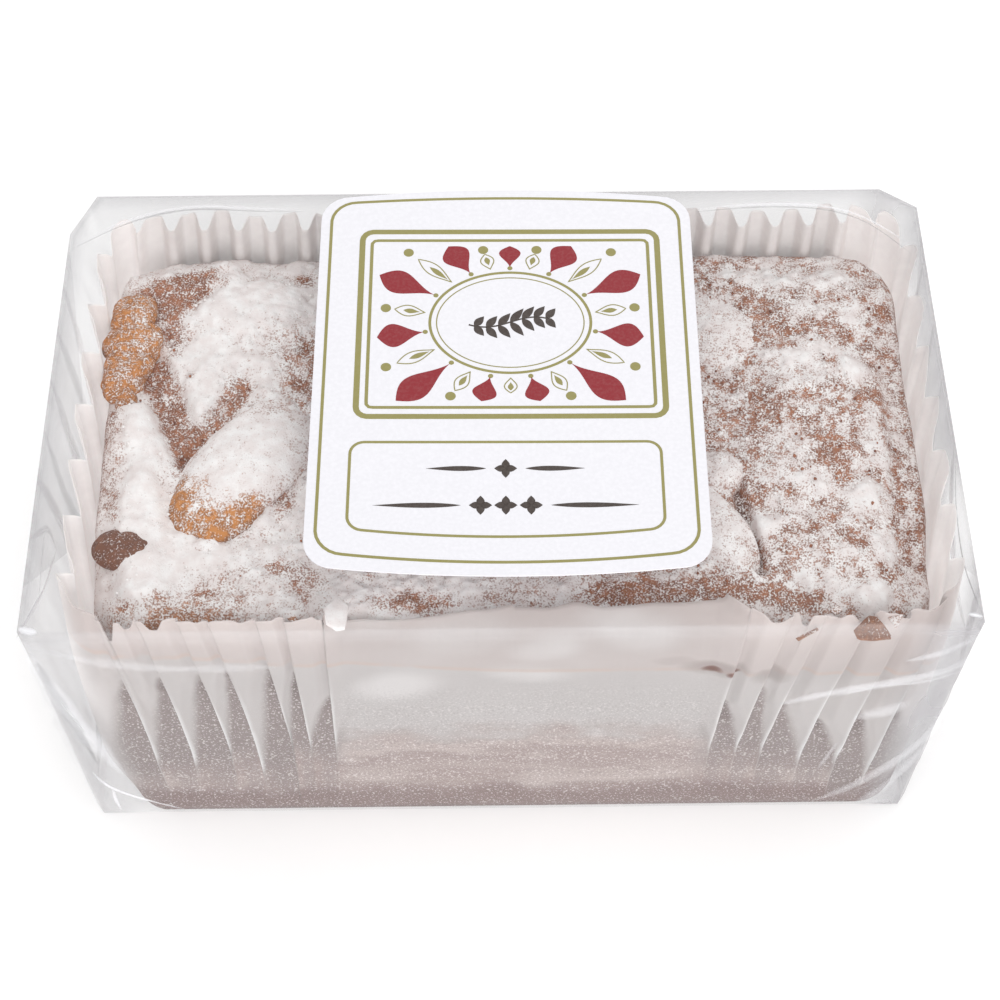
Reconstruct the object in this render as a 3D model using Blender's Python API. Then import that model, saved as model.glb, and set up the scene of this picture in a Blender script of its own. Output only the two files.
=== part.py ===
"""A sugar-dusted loaf cake sealed in clear film, as the two solids that can be handled: the film pack with
its label. Metres, +Z up, origin under the middle of the pack on the surface it stands on. +X runs along the
loaf, and -Y is the front."""

import math

import bpy
import bmesh
from mathutils import Vector

# The pack of film, measured over its folds
PACK_LENGTH = 0.170
PACK_DEPTH = 0.1036
PACK_HEIGHT = 0.075
BASE_LENGTH = 0.1660
BASE_DEPTH = 0.099

# How the film lies on the loaf
TOP_SAG = 0.0010
SIDE_SWELL = 0.0010
END_PINCH = 0.0008
TOP_ROUND = 0.0010
BASE_ROUND = 0.0012

# Corners seen from above, each as its cut along X and along Y
BACK_LEFT_CUT_TOP = (0.0045, 0.0100)
BACK_RIGHT_CUT_TOP = (0.0070, 0.0050)
FRONT_CUT_TOP = (0.0012, 0.0020)
BACK_CUT_AT_BASE = (0.0060, 0.0070)
FRONT_CUT_AT_BASE = (0.0016, 0.0022)

# The folded ends: a flap comes down from the top, and one comes up over it from the base
TOP_FLAP_LIFT = 0.0003
BASE_FLAP_LIFT = 0.0006
FLAP_SINK = 0.0004
TOP_FLAP_DROP = 0.050
BASE_FLAP_RISE = 0.044
FLAP_TIP = 0.006

# The paper label on the top of the film
LABEL_WIDTH = 0.0733
LABEL_LENGTH = 0.0862
LABEL_BOW = 0.0024
LABEL_CORNER = 0.0058
LABEL_THICKNESS = 0.0003
LABEL_GAP = 0.0003
LABEL_MIDDLE = (0.0017, 0.0055)
LABEL_TURN = math.radians(-0.55)

# How finely the shapes are cut
LONG_STEPS = 20
END_STEPS = 12
CUT_STEPS = 2
WALL_STEPS = 10
CAP_STEPS = 6
CORNER_STEPS = 6
BOW_STEPS = 16
SIDE_STEPS = 12

# The film without its flaps, which stand out of both ends
BODY_LENGTH = PACK_LENGTH - 2 * TOP_FLAP_LIFT
BODY_BASE_LENGTH = BASE_LENGTH - 2 * BASE_FLAP_LIFT


def clear_scene():
    for thing in list(bpy.data.objects):
        bpy.data.objects.remove(thing)


def plain_material(name, colour, roughness, alpha=1.0):
    material = bpy.data.materials.new(name)
    material.use_nodes = True
    shader = material.node_tree.nodes["Principled BSDF"]
    shader.inputs["Base Color"].default_value = (*colour, 1.0)
    shader.inputs["Roughness"].default_value = roughness
    shader.inputs["Metallic"].default_value = 0.0
    shader.inputs["Alpha"].default_value = alpha
    return material


def mix(a, b, share):
    return a + (b - a) * share


def top_of_film(x, y):
    """Height of the top panel, which sags a little between its edges."""
    across = max(0.0, 1 - (2 * x / PACK_LENGTH) ** 2)
    along = max(0.0, 1 - (2 * y / PACK_DEPTH) ** 2)
    return PACK_HEIGHT - TOP_SAG * across * along


def divided(start, end, steps):
    """Points from start towards end, without end itself."""
    return [start.lerp(end, i / steps) for i in range(steps)]


def plan_outline(height_share, inset):
    """The film seen from above at a height, from 0 at the base to 1 at the top: a box with cut corners,
    anticlockwise from the front left, drawn in by inset."""
    half_x = mix(BODY_BASE_LENGTH, BODY_LENGTH, height_share) / 2 - inset
    half_y = mix(BASE_DEPTH, PACK_DEPTH, height_share) / 2 - inset
    front = [mix(a, b, height_share) for a, b in zip(FRONT_CUT_AT_BASE, FRONT_CUT_TOP)]
    back_left = [mix(a, b, height_share) for a, b in zip(BACK_CUT_AT_BASE, BACK_LEFT_CUT_TOP)]
    back_right = [mix(a, b, height_share) for a, b in zip(BACK_CUT_AT_BASE, BACK_RIGHT_CUT_TOP)]
    corners = [
        Vector((-half_x + front[0], -half_y)),
        Vector((half_x - front[0], -half_y)),
        Vector((half_x, -half_y + front[1])),
        Vector((half_x, half_y - back_right[1])),
        Vector((half_x - back_right[0], half_y)),
        Vector((-half_x + back_left[0], half_y)),
        Vector((-half_x, half_y - back_left[1])),
        Vector((-half_x, -half_y + front[1])),
    ]
    steps = [LONG_STEPS, CUT_STEPS, END_STEPS, CUT_STEPS] * 2
    outline = []
    for start, end, count in zip(corners, corners[1:] + corners[:1], steps):
        outline += divided(start, end, count)
    return outline


def swollen(point, height_share):
    """A wall point moved out where the loaf presses on the long sides, and in where the ends are slack."""
    half_x = BODY_LENGTH / 2
    half_y = PACK_DEPTH / 2
    belly = math.sin(math.pi * height_share)
    along = max(0.0, 1 - (point.x / half_x) ** 2)
    across = max(0.0, 1 - (point.y / half_y) ** 2)
    out_y = math.copysign(SIDE_SWELL * belly * along, point.y) * (abs(point.y) / half_y) ** 4
    in_x = math.copysign(END_PINCH * belly * across, point.x) * (abs(point.x) / half_x) ** 8
    return Vector((point.x - in_x, point.y + out_y))


def wall_rings():
    """(outline, height) of each ring, from the edge of the base to the edge of the top."""
    rings = [(plan_outline(0.0, BASE_ROUND), 0.0), (plan_outline(0.0, BASE_ROUND * 0.3), BASE_ROUND * 0.3)]
    low = BASE_ROUND
    high = PACK_HEIGHT - TOP_ROUND
    for i in range(WALL_STEPS + 1):
        share = i / WALL_STEPS
        outline = [swollen(point, share) for point in plan_outline(share, 0.0)]
        rings.append((outline, mix(low, high, share)))
    rings.append((plan_outline(1.0, TOP_ROUND * 0.3), PACK_HEIGHT - TOP_ROUND * 0.3))
    rings.append((plan_outline(1.0, TOP_ROUND), PACK_HEIGHT))
    return rings


def shrunk_rings(outline, surface):
    """Rings that draw in from an outline to near its middle, laid on a surface."""
    middle = sum(outline, Vector((0.0, 0.0))) / len(outline)
    rings = []
    for i in range(1, CAP_STEPS):
        share = 1 - i / CAP_STEPS
        points = [middle + (point - middle) * share for point in outline]
        rings.append([(point.x, point.y, surface(point.x, point.y)) for point in points])
    return rings, (middle.x, middle.y, surface(middle.x, middle.y))


def skin(mesh_name, rings, low_middle, high_middle):
    """A closed mesh over a stack of rings, with a fan at each end."""
    shape = bmesh.new()
    rows = [[shape.verts.new(point) for point in ring] for ring in rings]
    count = len(rows[0])
    for below, above in zip(rows, rows[1:]):
        for i in range(count):
            j = (i + 1) % count
            shape.faces.new((below[i], below[j], above[j], above[i]))
    low = shape.verts.new(low_middle)
    high = shape.verts.new(high_middle)
    for i in range(count):
        j = (i + 1) % count
        shape.faces.new((low, rows[0][j], rows[0][i]))
        shape.faces.new((high, rows[-1][i], rows[-1][j]))
    bmesh.ops.triangulate(shape, faces=shape.faces[:])
    mesh = bpy.data.meshes.new(mesh_name)
    shape.to_mesh(mesh)
    shape.free()
    return mesh


def film_body():
    rings = [[(p.x, p.y, z) for p in outline] for outline, z in wall_rings()]
    top, top_middle = shrunk_rings(plan_outline(1.0, TOP_ROUND), top_of_film)
    base, base_middle = shrunk_rings(plan_outline(0.0, BASE_ROUND), lambda x, y: 0.0)
    return skin("wrap", base[::-1] + rings + top, base_middle, top_middle)


def end_x(z):
    """Half length of the film's body at a height, on its middle line, where the slack end draws in."""
    share = z / PACK_HEIGHT
    length = mix(BODY_BASE_LENGTH, BODY_LENGTH, share)
    return length / 2 - END_PINCH * math.sin(math.pi * share)


def flap(name, side, outline, lift):
    """A folded flap: an outline in Y and Z laid on an end of the pack, lift above its surface, with its back
    sunk into the film under it."""
    shape = bmesh.new()
    outer = [shape.verts.new((side * (end_x(z) + lift), y, z)) for y, z in outline]
    inner = [shape.verts.new((side * (end_x(z) - FLAP_SINK), y, z)) for y, z in outline]
    shape.faces.new(outer)
    shape.faces.new(inner[::-1])
    for i in range(len(outline)):
        j = (i + 1) % len(outline)
        shape.faces.new((outer[j], outer[i], inner[i], inner[j]))
    bmesh.ops.recalc_face_normals(shape, faces=shape.faces[:])
    mesh = bpy.data.meshes.new(name)
    shape.to_mesh(mesh)
    shape.free()
    thing = bpy.data.objects.new(name, mesh)
    return thing


def flap_outlines():
    """The two flaps of an end, as points in Y and Z: each narrows at 45 degrees towards its blunt tip."""
    high = PACK_HEIGHT - TOP_ROUND
    low = BASE_ROUND
    half_top = PACK_DEPTH / 2 - BACK_LEFT_CUT_TOP[1] - TOP_ROUND
    half_base = BASE_DEPTH / 2 - BACK_CUT_AT_BASE[1] - BASE_ROUND
    down = [(-half_top, high), (-FLAP_TIP, high - TOP_FLAP_DROP), (FLAP_TIP, high - TOP_FLAP_DROP), (half_top, high)]
    up = [(-half_base, low), (half_base, low), (FLAP_TIP, low + BASE_FLAP_RISE), (-FLAP_TIP, low + BASE_FLAP_RISE)]
    return down, up


def join_by_union(body, pieces):
    """Joins pieces into body by one Boolean union on a collection, and removes them."""
    group = bpy.data.collections.new("flaps")
    for piece in pieces:
        group.objects.link(piece)
    union = body.modifiers.new("folds", "BOOLEAN")
    union.operation = "UNION"
    union.operand_type = "COLLECTION"
    union.collection = group
    union.solver = "EXACT"
    shown = bpy.context.evaluated_depsgraph_get()
    joined = bpy.data.meshes.new_from_object(body.evaluated_get(shown))
    body.modifiers.clear()
    body.data = joined
    for piece in pieces:
        bpy.data.objects.remove(piece)
    bpy.data.collections.remove(group)


def build_wrap(material):
    wrap = bpy.data.objects.new("wrap", film_body())
    bpy.context.scene.collection.objects.link(wrap)
    down, up = flap_outlines()
    flaps = []
    for side in (-1, 1):
        flaps.append(flap("top_flap", side, down, TOP_FLAP_LIFT))
        flaps.append(flap("base_flap", side, up, BASE_FLAP_LIFT))
    join_by_union(wrap, flaps)
    wrap.data.materials.clear()
    wrap.data.materials.append(material)
    return wrap


def label_outline():
    """The label seen from above: straight sides, round corners, and a top and a foot that bow outwards."""
    half_x = LABEL_WIDTH / 2
    half_y = LABEL_LENGTH / 2
    flat_x = half_x - LABEL_CORNER

    def bowed(x):
        return half_y + LABEL_BOW * (1 - (x / half_x) ** 2)

    def corner(sign_x, sign_y, first, last):
        centre = Vector((sign_x * flat_x, sign_y * (bowed(flat_x) - LABEL_CORNER)))
        angles = [mix(first, last, i / CORNER_STEPS) for i in range(CORNER_STEPS)]
        return [centre + LABEL_CORNER * Vector((math.cos(a), math.sin(a))) for a in angles]

    right = math.pi / 2
    ends = [mix(-flat_x, flat_x, i / BOW_STEPS) for i in range(BOW_STEPS)]
    foot = [Vector((x, -bowed(x))) for x in ends]
    head = [Vector((-x, bowed(x))) for x in ends]
    rise = bowed(flat_x) - LABEL_CORNER
    climb = [mix(-rise, rise, i / SIDE_STEPS) for i in range(SIDE_STEPS)]
    outline = foot + corner(1, -1, -right, 0.0) + [Vector((half_x, y)) for y in climb]
    outline += corner(1, 1, 0.0, right) + head + corner(-1, 1, right, 2 * right)
    outline += [Vector((-half_x, -y)) for y in climb] + corner(-1, -1, 2 * right, 3 * right)
    turned = [Vector((p.x * math.cos(LABEL_TURN) - p.y * math.sin(LABEL_TURN),
                      p.x * math.sin(LABEL_TURN) + p.y * math.cos(LABEL_TURN))) for p in outline]
    return [point + Vector(LABEL_MIDDLE) for point in turned]


def build_label(material):
    outline = label_outline()

    def under(x, y):
        return top_of_film(x, y) + LABEL_GAP

    def over(x, y):
        return top_of_film(x, y) + LABEL_GAP + LABEL_THICKNESS

    low_edge = [(p.x, p.y, under(p.x, p.y)) for p in outline]
    high_edge = [(p.x, p.y, over(p.x, p.y)) for p in outline]
    low, low_middle = shrunk_rings(outline, under)
    high, high_middle = shrunk_rings(outline, over)
    mesh = skin("label", low[::-1] + [low_edge, high_edge] + high, low_middle, high_middle)
    label = bpy.data.objects.new("label", mesh)
    bpy.context.scene.collection.objects.link(label)
    label.data.materials.append(material)
    return label


def main():
    clear_scene()
    film = plain_material("clear_film", (0.86, 0.86, 0.87), 0.15, 0.4)
    paper = plain_material("label_paper", (0.93, 0.92, 0.93), 0.45)
    wrap = build_wrap(film)
    wrap.data.shade_smooth()
    wrap.data.set_sharp_from_angle(angle=math.radians(25))
    label = build_label(paper)
    label.data.shade_smooth()
    label.data.set_sharp_from_angle(angle=math.radians(40))


main()
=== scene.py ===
"""Dresses a wrapped loaf cake. A sugar-dusted loaf sits in a pleated paper case, and clear film with folded
ends closes round both, with a printed paper label on its top. The front is -Y, and +X runs along the loaf.
Lengths are in metres, and names that end in _MM hold millimetres."""

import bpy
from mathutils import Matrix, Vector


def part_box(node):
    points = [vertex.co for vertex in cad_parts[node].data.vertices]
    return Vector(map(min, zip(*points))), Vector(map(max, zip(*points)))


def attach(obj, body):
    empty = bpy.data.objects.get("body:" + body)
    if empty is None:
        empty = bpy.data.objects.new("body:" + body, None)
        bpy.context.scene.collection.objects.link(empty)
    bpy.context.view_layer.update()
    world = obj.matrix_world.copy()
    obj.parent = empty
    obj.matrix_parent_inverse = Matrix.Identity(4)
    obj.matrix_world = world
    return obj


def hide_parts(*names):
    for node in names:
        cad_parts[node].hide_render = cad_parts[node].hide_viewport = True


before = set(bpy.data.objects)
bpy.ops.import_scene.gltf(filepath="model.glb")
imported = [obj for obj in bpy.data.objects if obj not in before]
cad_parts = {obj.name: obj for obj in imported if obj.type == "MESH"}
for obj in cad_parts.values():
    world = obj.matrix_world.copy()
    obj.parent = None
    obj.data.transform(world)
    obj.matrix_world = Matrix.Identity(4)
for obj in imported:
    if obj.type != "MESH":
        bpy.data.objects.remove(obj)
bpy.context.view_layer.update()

import math

import bpy
import numpy as np
from mathutils import Matrix

bl_info = {
    "name": "Wrapped Loaf Cake",
    "version": (1, 0),
    "blender": (4, 5, 0),
    "location": "3D View > Sidebar > Loaf Cake",
    "description": "Builds a sugar-dusted loaf in its paper case, film and label, with a small studio",
    "category": "Add Mesh",
}

MM = 0.001
WRAP_LOW, WRAP_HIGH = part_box("wrap")


def linear(red, green, blue):
    """A colour given as 0 to 255 on a screen, as the linear values that Blender mixes."""
    shares = [channel / 255 for channel in (red, green, blue)]
    return tuple(s / 12.92 if s <= 0.04045 else ((s + 0.055) / 1.055) ** 2.4 for s in shares)


def colour_property(name, description, screen_colour):
    """A colour that a user can set, given as 0 to 255 on a screen."""
    return bpy.props.FloatVectorProperty(name=name, description=description, subtype="COLOR", size=3,
                                         min=0, max=1, default=linear(*screen_colour))


def number_property(name, description, default, **kind):
    """A number that a user can set, a length in metres where no other kind is given."""
    kind = kind or {"unit": "LENGTH"}
    return bpy.props.FloatProperty(name=name, description=description, default=default, **kind)


class CakeSettings(bpy.types.PropertyGroup):
    """The baked loaf and what lies on it."""

    left: number_property("Left end", "Where the loaf ends on the left", -0.0762)
    right: number_property("Right end", "Where the loaf ends on the right", 0.0806)
    front_base: number_property("Front at the base", "Where the loaf's front face meets its base", -0.0472)
    front_top: number_property("Front at the top", "Where the loaf's front face meets its crust", -0.0436)
    back: number_property("Back", "Where the loaf's back face stands", 0.0460)
    height: number_property("Height", "Height of the crust at the middle of the loaf", 0.0625)
    crust: colour_property("Crust", "Baked crust that the sugar leaves bare", (174, 114, 84))
    golden: colour_property("Golden crust", "Thin, buttery edge of the crust", (202, 134, 70))
    sugar: colour_property("Sugar", "Icing sugar where it lies thick", (247, 245, 244))


class CaseSettings(bpy.types.PropertyGroup):
    """The pleated paper case."""

    rim: number_property("Rim height", "Height of the rim at the corners", 0.0698)
    pleat_depth: number_property("Pleat depth", "How far a pleat stands out at the rim", 0.0044)
    pleats: bpy.props.IntProperty(name="Pleats", description="Pleats round the case", default=60, min=8)
    paper: colour_property("Paper", "Dry paper", (227, 220, 217))
    contact: colour_property("Paper on crumb", "Paper that lies on the crumb and shows it", (126, 111, 108))
    stained: colour_property("Buttery paper", "Paper that has soaked up butter", (160, 140, 135))
    blush: colour_property("Blush", "Paper that lies on the crust's edge", (194, 176, 171))


class FilmSettings(bpy.types.PropertyGroup):
    """The clear film and its folds."""

    tint: colour_property("Tint", "Grey of the film where its layers gather", (150, 147, 151))
    # Painted highlight: the near-white that the creases, the flaps and the front wall take over the tint
    painted_gleam: colour_property("Gleam", "White of the creases", (250, 250, 253))
    haze: number_property("Haze", "How much of what is behind one layer it hides", 0.05, subtype="FACTOR")


class LabelSettings(bpy.types.PropertyGroup):
    """The paper label's inks."""

    paper: colour_property("Paper", "Coated label paper", (242, 241, 246))
    gold: colour_property("Gold", "Lines of the frames", (148, 141, 82))
    red: colour_property("Red", "Petals", (142, 14, 30))
    dark: colour_property("Dark", "Fine ornament", (62, 50, 44))


class StageSettings(bpy.types.PropertyGroup):
    """Floor, light and camera."""

    floor: colour_property("Floor", "Plain pale floor", (254, 254, 254))
    lens: number_property("Lens", "Focal length", 75.6, subtype="DISTANCE_CAMERA")
    distance: number_property("Distance", "From the camera to the point it looks at", 0.4291)
    elevation: number_property("Elevation", "Height of the camera over the horizon", math.radians(56.01),
                               subtype="ANGLE")
    azimuth: number_property("Azimuth", "Turn of the camera from the front, towards +X", math.radians(-0.73),
                             subtype="ANGLE")


def ease(low, high, value):
    """A step from 0 at low to 1 at high along the curve 3t2 - 2t3."""
    share = np.clip((value - low) / (high - low), 0, 1)
    return share * share * (3 - 2 * share)


def mixed(a, b, share):
    """a where share is 0, b where it is 1, on a straight line between."""
    return a + (b - a) * share


LATTICE = 64


def value_noise(x, y, cell, seed):
    """Smooth noise from 0 to 1: random values at the corners of square cells, blended across each cell."""
    lattice = np.random.default_rng(seed).random((LATTICE, LATTICE))
    across, up = np.asarray(x, float) / cell, np.asarray(y, float) / cell
    i, j = np.floor(across).astype(int), np.floor(up).astype(int)
    u, v = ease(0, 1, across - i), ease(0, 1, up - j)
    i, j, right, above = (index % LATTICE for index in (i, j, i + 1, j + 1))
    low, high = (mixed(lattice[i, row], lattice[right, row], u) for row in (j, above))
    return mixed(low, high, v)


def layered_noise(x, y, cell, seed, layers=3):
    """Layers of smooth noise from -1 to 1, each with half the cell and half the strength of the last."""
    total = 0
    for layer in range(layers):
        total = total + (value_noise(x, y, cell / 2 ** layer, seed + layer) - 0.5) / 2 ** layer
    return total / (1 - 0.5 ** layers)


def patch(x, y, spot):
    """1 at the middle of an ellipse (x, y, half width, half depth, degrees turned), falling to 0 at its edge
    and a little past it."""
    middle_x, middle_y, half_x, half_y, turn = spot
    angle = math.radians(turn)
    across = ((x - middle_x) * math.cos(angle) + (y - middle_y) * math.sin(angle)) / half_x
    along = ((y - middle_y) * math.cos(angle) - (x - middle_x) * math.sin(angle)) / half_y
    return 1 - ease(0.35, 1.25, np.hypot(across, along))


def streak(x, y, line):
    """1 on the line (x, y, x, y, half width), falling to 0 at its half width."""
    x0, y0, x1, y1, half_width = line
    run_x, run_y = x1 - x0, y1 - y0
    share = np.clip(((x - x0) * run_x + (y - y0) * run_y) / (run_x ** 2 + run_y ** 2), 0, 1)
    return 1 - ease(0.3, 1.0, np.hypot(x - x0 - share * run_x, y - y0 - share * run_y) / half_width)


def marked(total, shape, x, y, marks):
    """A total plus, for each mark, its amount times the shape of the rest of it."""
    for *place, amount in marks:
        total = total + amount * shape(x, y, place)
    return total


def round_outline(position, low_x, high_x, low_y, high_y, radius, arc_points=24):
    """Points on a rectangle with round corners, anticlockwise from the middle of its front side. A position
    is a share of its length."""
    turn = np.linspace(-np.pi / 2, 0, arc_points)
    middle_x = (low_x + high_x) / 2
    xs, ys = [[middle_x]], [[low_y]]
    for quarter, (x, y, side_x, side_y) in enumerate(
        ((high_x, low_y, -1, 1), (high_x, high_y, -1, -1), (low_x, high_y, 1, -1), (low_x, low_y, 1, 1))
    ):
        angle = turn + quarter * np.pi / 2
        xs.append(x + side_x * radius + radius * np.cos(angle))
        ys.append(y + side_y * radius + radius * np.sin(angle))
    xs = np.concatenate(xs + [[middle_x]])
    ys = np.concatenate(ys + [[low_y]])
    gone = np.concatenate([[0], np.cumsum(np.hypot(np.diff(xs), np.diff(ys)))])
    where = np.mod(position, 1) * gone[-1]
    return np.interp(where, gone, xs), np.interp(where, gone, ys)


class Skin:
    """Points, faces, face-corner UVs and point attributes of one or more surfaces that become one mesh."""

    def __init__(self):
        self.points, self.faces, self.uvs, self.values = [], [], [], {}
        self.count = 0

    def loft(self, rows, values=None, uv=None, close_high=True, ring=False):
        """Adds a surface over rows of points, each a closed loop. A point's neighbours are the next in its
        row and the same one in the next row. Rows that climb, with loops anticlockwise from above, face out.
        A fan to its middle closes an end, or the last row joins the first where ring is set."""
        rows = np.asarray(rows, float)
        count, columns = rows.shape[:2]
        row, column = np.meshgrid(np.arange(count if ring else count - 1), np.arange(columns), indexing="ij")
        right, above = (column + 1) % columns, (row + 1) % count
        quads = np.stack([row * columns + column, row * columns + right, above * columns + right,
                          above * columns + column], -1).reshape(-1, 4)
        self.faces += (quads + self.count).tolist()
        ends = [] if ring else [0, count - 1] if close_high else [0]
        self.points += [rows.reshape(-1, 3)] + [rows[end].mean(0)[None] for end in ends]
        corners = [self.corner_uvs(row, column, right, *uv)] if uv else []
        for hub, end in enumerate(ends, count * columns):
            first = np.arange(columns) + end * columns
            rim = [first, np.roll(first, -1)] if end else [np.roll(first, -1), first]
            self.faces += (np.stack(rim + [np.full(columns, hub)], -1) + self.count).tolist()
            if uv:
                corners.append(np.zeros((columns * 3, 2)) + [0.5, uv[1][end, 0]])
        self.uvs += corners
        for name, value in (values or {}).items():
            field = np.broadcast_to(value, (count, columns)).astype(float)
            self.values.setdefault(name, []).append(field.reshape(-1))
            self.values[name] += [[field[end].mean()] for end in ends]
        self.count += count * columns + len(ends)

    @staticmethod
    def corner_uvs(row, column, right, u, v):
        """UVs at each quad's corners: u by column, counted past the seam so that it never jumps back, and v
        by row and column."""
        corners = [(u[column], v[row, column]), (u[column + 1], v[row, right]),
                   (u[column + 1], v[row + 1, right]), (u[column], v[row + 1, column])]
        return np.array(corners).transpose(2, 3, 0, 1).reshape(-1, 2)

    def scatter(self, shape, faces, places, sizes, seed):
        """Adds copies of one small shape, each turned at random and stretched by its own sizes."""
        draw = np.random.default_rng(seed)
        count = len(places)
        axes = np.linalg.qr(draw.normal(size=(count, 3, 3)))[0]
        axes[np.linalg.det(axes) < 0, :, 0] *= -1
        rough = shape[None] * draw.uniform(0.75, 1.15, (count, len(shape), 1))
        turned = np.einsum("kij,kpj->kpi", axes, rough * sizes[:, None, None])
        start = np.arange(count)[:, None, None] * len(shape)
        self.faces += (faces[None] + start + self.count).reshape(-1, faces.shape[1]).tolist()
        self.points.append((turned + places[:, None]).reshape(-1, 3))
        self.count += count * len(shape)

    def piece(self, name, material, smooth_angle):
        """Makes the mesh and its object at the origin, shaded smooth up to an angle."""
        mesh = bpy.data.meshes.new(name)
        mesh.from_pydata(np.concatenate(self.points).tolist(), [], self.faces)
        for attribute, parts in self.values.items():
            whole = np.concatenate(parts).astype(np.float32)
            mesh.attributes.new(attribute, "FLOAT", "POINT").data.foreach_set("value", whole)
        if self.uvs:
            corners = np.concatenate(self.uvs).astype(np.float32)
            mesh.uv_layers.new(name="UVMap").data.foreach_set("uv", corners.reshape(-1))
        mesh.shade_smooth()
        mesh.set_sharp_from_angle(angle=math.radians(smooth_angle))
        mesh.materials.append(material)
        return add_object(name, mesh)


def add_object(name, data):
    """Puts a mesh, light or camera into the scene."""
    thing = bpy.data.objects.new(name, data)
    bpy.context.scene.collection.objects.link(thing)
    return thing


def maths_method(operation, reflected=False):
    """A method that adds a Math node on a wire and what follows it, or precedes it where reflected."""
    if reflected:
        return lambda wire, other: wire.maths(operation, other, wire)
    return lambda wire, *others: wire.maths(operation, wire, *others)


class Wire:
    """The output of a node, on which Python's operators add Math nodes."""

    __add__, __radd__ = maths_method("ADD"), maths_method("ADD", True)
    __sub__, __rsub__ = maths_method("SUBTRACT"), maths_method("SUBTRACT", True)
    __mul__, __rmul__ = maths_method("MULTIPLY"), maths_method("MULTIPLY", True)
    __truediv__, __rtruediv__ = maths_method("DIVIDE"), maths_method("DIVIDE", True)
    __pow__, __abs__ = maths_method("POWER"), maths_method("ABSOLUTE")
    sine, fraction = maths_method("SINE"), maths_method("FRACT")
    at_least, at_most = maths_method("MAXIMUM"), maths_method("MINIMUM")

    def __init__(self, finish, socket):
        self.finish = finish
        self.socket = socket

    def maths(self, operation, *terms):
        """Adds a Math node on wires and numbers."""
        return self.finish.node("ShaderNodeMath", {"operation": operation}, dict(enumerate(terms)))

    def eased(self, low, high):
        """From 0 where it is low to 1 where it is high, along a smooth step."""
        return self.finish.node("ShaderNodeMapRange", {"interpolation_type": "SMOOTHSTEP"},
                                {"Value": self, "From Min": low, "From Max": high})


class Finish:
    """A material, with one method that adds any node to it."""

    def __init__(self, name):
        self.material = bpy.data.materials.new(name)
        self.material.use_nodes = True
        self.tree = self.material.node_tree
        self.shader = self.tree.nodes["Principled BSDF"]

    def node(self, kind, settings=None, sockets=None, output=0):
        """Adds a node. Its settings are set first, and then its sockets, each by name or number."""
        node = self.tree.nodes.new(kind)
        for name, value in (settings or {}).items():
            setattr(node, name, value)
        for name, value in (sockets or {}).items():
            self.put(node.inputs[name], value)
        return Wire(self, node.outputs[output])

    def put(self, socket, value):
        """Links a wire to a socket, or sets the socket to a number or colour."""
        if isinstance(value, Wire):
            self.tree.links.new(value.socket, socket)
        else:
            socket.default_value = (*value, 1.0) if socket.type == "RGBA" else value

    def attribute(self, name):
        """A number that the mesh holds at each point."""
        return self.node("ShaderNodeAttribute", {"attribute_name": name}, output="Fac")

    def noise(self, scale, detail=2.0, roughness=0.5, stretch=(1, 1, 1)):
        """Noise of about 1 / scale metres, on the object's own coordinates."""
        place = self.node("ShaderNodeTexCoord", output="Object")
        if stretch != (1, 1, 1):
            place = self.node("ShaderNodeMapping", None, {"Vector": place, "Scale": stretch})
        return self.node("ShaderNodeTexNoise", None,
                         {"Vector": place, "Scale": scale, "Detail": detail, "Roughness": roughness})

    def blend(self, share, first, second):
        """The first colour where share is 0, the second where it is 1."""
        return self.node("ShaderNodeMix", {"data_type": "RGBA"}, {0: share, 6: first, 7: second}, output=2)

    def mottled(self, scale, detail, low, high, first, second):
        """Two colours, blended by noise that is eased from low to high."""
        return self.blend(self.noise(scale, detail).eased(low, high), first, second)

    def layered(self, colour, *layers):
        """A colour under layers, each its share and the colour that it lays over what is below."""
        for share, tone in layers:
            colour = self.blend(share, colour, tone)
        return colour

    def bump(self, height, distance, strength=1.0):
        """A normal that follows a height over the surface."""
        sockets = {"Height": height, "Distance": distance, "Strength": strength}
        return self.node("ShaderNodeBump", None, sockets)

    def finished(self, **sockets):
        """Sets the shader's sockets, whose names are written with _ for each space."""
        for name, value in sockets.items():
            self.put(self.shader.inputs[name.replace("_", " ")], value)
        return self.material


def settle(piece, slot, *nodes):
    """Fixes a finished piece to the pack, and hides the solids that it stands for. Its slot is not used."""
    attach(piece, "root")
    if nodes:
        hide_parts(*nodes)
    return piece


# The loaf

CAKE_COLUMNS = 700
CAKE_WALL_ROWS = 12
CAKE_TOP_ROWS = 96
CRUST_DOME_MM = 1.6
CAKE_CORNER_BASE = 0.009
CAKE_CORNER_TOP = 0.012
CAKE_FLOOR = 0.0014
CRUST_ROUND_MM = 6.5
CRUST_DROP_MM = 7.6
END_ROUND_MM = 2.6
END_DROP_MM = 1.6

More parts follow.
